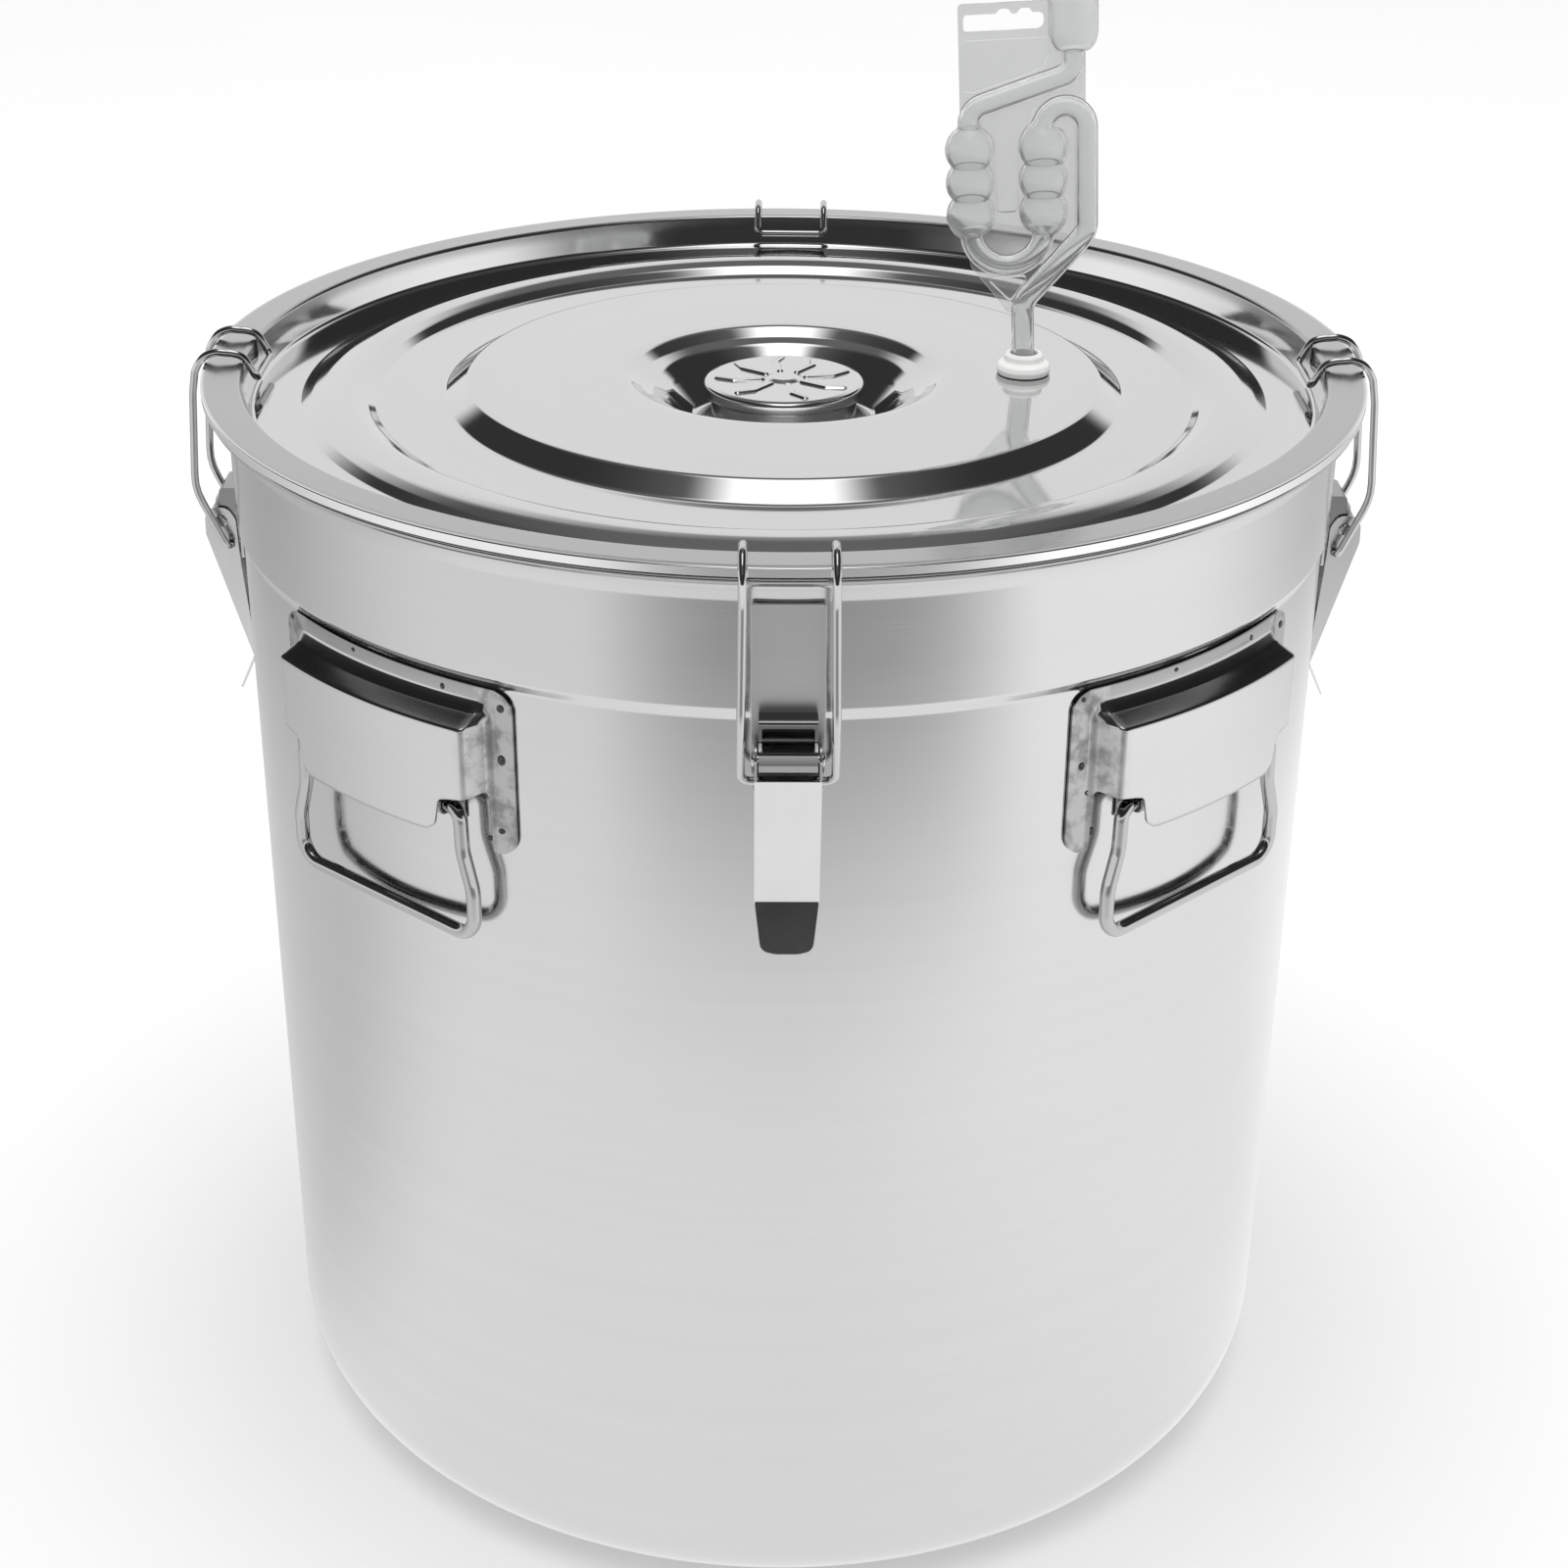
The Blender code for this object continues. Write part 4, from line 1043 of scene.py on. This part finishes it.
def welds():
    """Spot-weld craters on the flange, as one piece."""
    crater = [(0.0, -0.02), (0.55, 0.0), (1.0, 0.22), (1.45, 0.30), (1.9, 0.10), (2.05, -0.25),
              (0.0, -0.3)]
    spots, faces = [], []
    steps = 20
    for index, (angle, z, large) in enumerate(WELDS):
        a = math.radians(angle)
        oval = 1.0 + 0.25 * math.sin(index * 2.1)
        size = large * (0.72 + 0.10 * math.sin(index * 1.7))
        out = Vector((math.cos(a), math.sin(a), 0))
        across = Vector((-math.sin(a), math.cos(a), 0))
        centre = out * (COVER_R + 0.06) + Vector((0, 0, z))
        first = len(spots)
        for k in range(steps):
            b = math.tau * k / steps
            ring = across * math.cos(b) + Vector((0, 0, oval)) * math.sin(b)
            spots += [centre + ring * r * size + out * h * large for r, h in crater]
        for k in range(steps):
            here, there = first + k * len(crater), first + (k + 1) % steps * len(crater)
            faces += [(here + i, there + i, there + i + 1, here + i + 1) for i in range(len(crater) - 1)]
    return mesh_object("welds", spots, faces)


def handles():
    templates = (
        (handle_cover(), "cover", PRESSED, "pressed_steel", "can", 50.0),
        (handle_hinge(), "hinge", BRACKET_PAINTED_SHADE_SKIN, "pressed_steel", "can", 40.0),
        (handle_bail(), "bail", HANDLE_SKIN, "spring_wire", "grip_", 60.0),
        (welds(), "welds", WELD_SKIN, "pressed_steel", "can", 60.0),
    )
    for side in HANDLES:
        place = station("handle_%s_hinge" % side)
        for item, part, skin, slot_name, body, sharp in templates:
            body_name = body if body == "can" else body + side
            nodes = () if part == "welds" else ["handle_%s_%s" % (side, part)]
            done(copy_of(item, "piece"), "grip_%s_%s" % (side, part), skin, body_name, nodes,
                 place, sharp)
    for item, *_ in templates:
        bpy.data.objects.remove(item, do_unlink=True)


container()
lid()
vent()
cap()
airlock()
grommet()
latches()
handles()


# --- floor, light and surroundings --------------------------------------------------
TURN = math.radians(6.0)      # the dark front of the studio stands a little to the right
FLOOR_Z = -0.0002             # metres, just under the can's base


def floor():
    size, steps = 9.0, 8      # metres, and squares along a side
    row = steps + 1
    spots = [((i / steps - 0.5) * size / MM, (j / steps - 0.5) * size / MM, 0.0)
             for j in range(row) for i in range(row)]
    faces = [(j * row + i, j * row + i + 1, (j + 1) * row + i + 1, (j + 1) * row + i)
             for j in range(steps) for i in range(steps)]
    item = mesh_object("floor", spots, faces)
    item.location = (AXIS_X, AXIS_Y, FLOOR_Z)
    made, n, shader = new_material("floor_paper_and_painted_reflection")
    place = n.add("ShaderNodeTexCoord").outputs["Object"]
    cloud = n.noise(place, 2.0, 3.0, 0.5)
    n.put(shader.inputs["Base Color"], n.mix(cloud, grey(0.93), grey(0.96)))
    shader.inputs["Roughness"].default_value = 0.9
    shader.inputs["Specular IOR Level"].default_value = 0.1
    # painted reflection: what the steel shows of the floor is a glow of this tone, not the lit paper: bright
    # close by, darker further out, and most so in front
    x, y, _ = n.split(place)
    reach = n.length(x, y)
    turned = n.less(n.times(x, math.sin(TURN)), n.times(y, math.cos(TURN)))
    ahead = n.math("DIVIDE", turned, n.math("MAXIMUM", reach, 0.01))
    far = n.times(n.ramp(ahead, 0.72, 1.01, 1.0, 0.34), n.ramp(ahead, -0.7, 0.35, 0.56, 1.0))
    far = n.times(far, n.ramp(x, -0.6, 0.6, 0.90, 1.14))
    near = n.plus(n.ramp(x, -0.6, 0.6, 0.70, 0.98),
                  n.times(n.ramp(ahead, -0.2, 0.5), n.ramp(x, -0.6, 0.6, 0.30, 0.02)))
    near = n.times(near, n.ramp(x, 0.0, 0.4, 1.0, 1.10))
    away = n.ramp(reach, 0.50, 1.15)
    tone = n.plus(n.times(away, far), n.times(n.less(1.0, away), near))
    painted_floor_reflection = n.add("ShaderNodeEmission")
    n.put(painted_floor_reflection.inputs["Color"], n.join(tone, tone, tone))
    # glossy rays see the painted reflection, all other rays see the paper
    both = n.add("ShaderNodeMixShader")
    n.put(both.inputs[0], n.add("ShaderNodeLightPath").outputs["Is Glossy Ray"])
    n.put(both.inputs[1], shader.outputs[0])
    n.put(both.inputs[2], painted_floor_reflection.outputs[0])
    n.put(made.node_tree.nodes["Material Output"].inputs["Surface"], both.outputs[0])
    item.data.materials.append(made)


LAMP_AT, LAMP_AIM = Vector((0.0, -0.3, 2.6)), Vector((0.0, -0.2, 0.0))      # metres
LAMP_SIZE, LAMP_POWER = 2.6, 18.0      # metres across, watts


def overhead():
    """A soft light above, for the floor's shadow and the silicone. The steel doesn't show it."""
    data = bpy.data.lights.new("overhead", "AREA")
    data.shape = "DISK"
    data.size = LAMP_SIZE
    data.energy = LAMP_POWER
    item = bpy.data.objects.new("overhead", data)
    bpy.context.scene.collection.objects.link(item)
    item.location = LAMP_AT
    item.rotation_euler = (LAMP_AIM - LAMP_AT).to_track_quat("-Z", "Y").to_euler()
    item.visible_glossy = False
    item.visible_camera = False


def surroundings():
    """Bright walls at the sides and behind, a dark front, and a strip light straight above."""
    world = bpy.data.worlds.new("studio")
    bpy.context.scene.world = world
    world.use_nodes = True
    n = Nodes(world.node_tree)
    x, y, z = n.split(n.add("ShaderNodeTexCoord").outputs["Generated"])
    flat_length = n.length(x, y)
    ahead = n.math("DIVIDE", n.times(y, -1.0), n.math("MAXIMUM", flat_length, 0.01))
    # the walls: bright except in front, and no higher than about 40 degrees
    sides = n.math("MAXIMUM", n.ramp(ahead, 0.35, 0.90, 1.0, 0.0), n.ramp(z, 0.04, 0.16, 1.0, 0.0))
    behind = n.ramp(ahead, -0.7, 0.2, 0.86, 1.08)
    beside = n.ramp(n.math("ABSOLUTE", x), 0.30, 0.62, 0.0, 0.36)
    low = n.ramp(n.plus(z, beside), 0.52, 0.70, 1.0, 0.0)
    walls = n.times(n.times(sides, behind), low)
    # the strip light overhead, and the faint glow of the ceiling round it
    over = n.times(n.ramp(n.math("ABSOLUTE", x), 0.08, 0.26, 1.0, 0.0), n.ramp(z, 0.86, 0.94))
    middle = n.times(n.ramp(n.math("ABSOLUTE", x), 0.12, 0.50, 1.0, 0.0), n.ramp(z, 0.56, 0.70))
    level_out = n.plus(n.plus(walls, n.times(over, 1.6)), n.plus(n.times(middle, 0.12), 0.04))
    # white for what the camera sees and for soft light, and half as bright through the plastic
    rays = n.add("ShaderNodeLightPath")
    even = n.math("MAXIMUM", rays.outputs["Is Camera Ray"], rays.outputs["Is Diffuse Ray"])
    even = n.math("MAXIMUM", even, n.times(rays.outputs["Is Transmission Ray"], 0.55))
    colour = n.mix(even, level_out, grey(1.0))
    back = world.node_tree.nodes["Background"]
    n.put(back.inputs["Color"], colour)
    back.inputs["Strength"].default_value = 1.0


floor()
surroundings()
overhead()
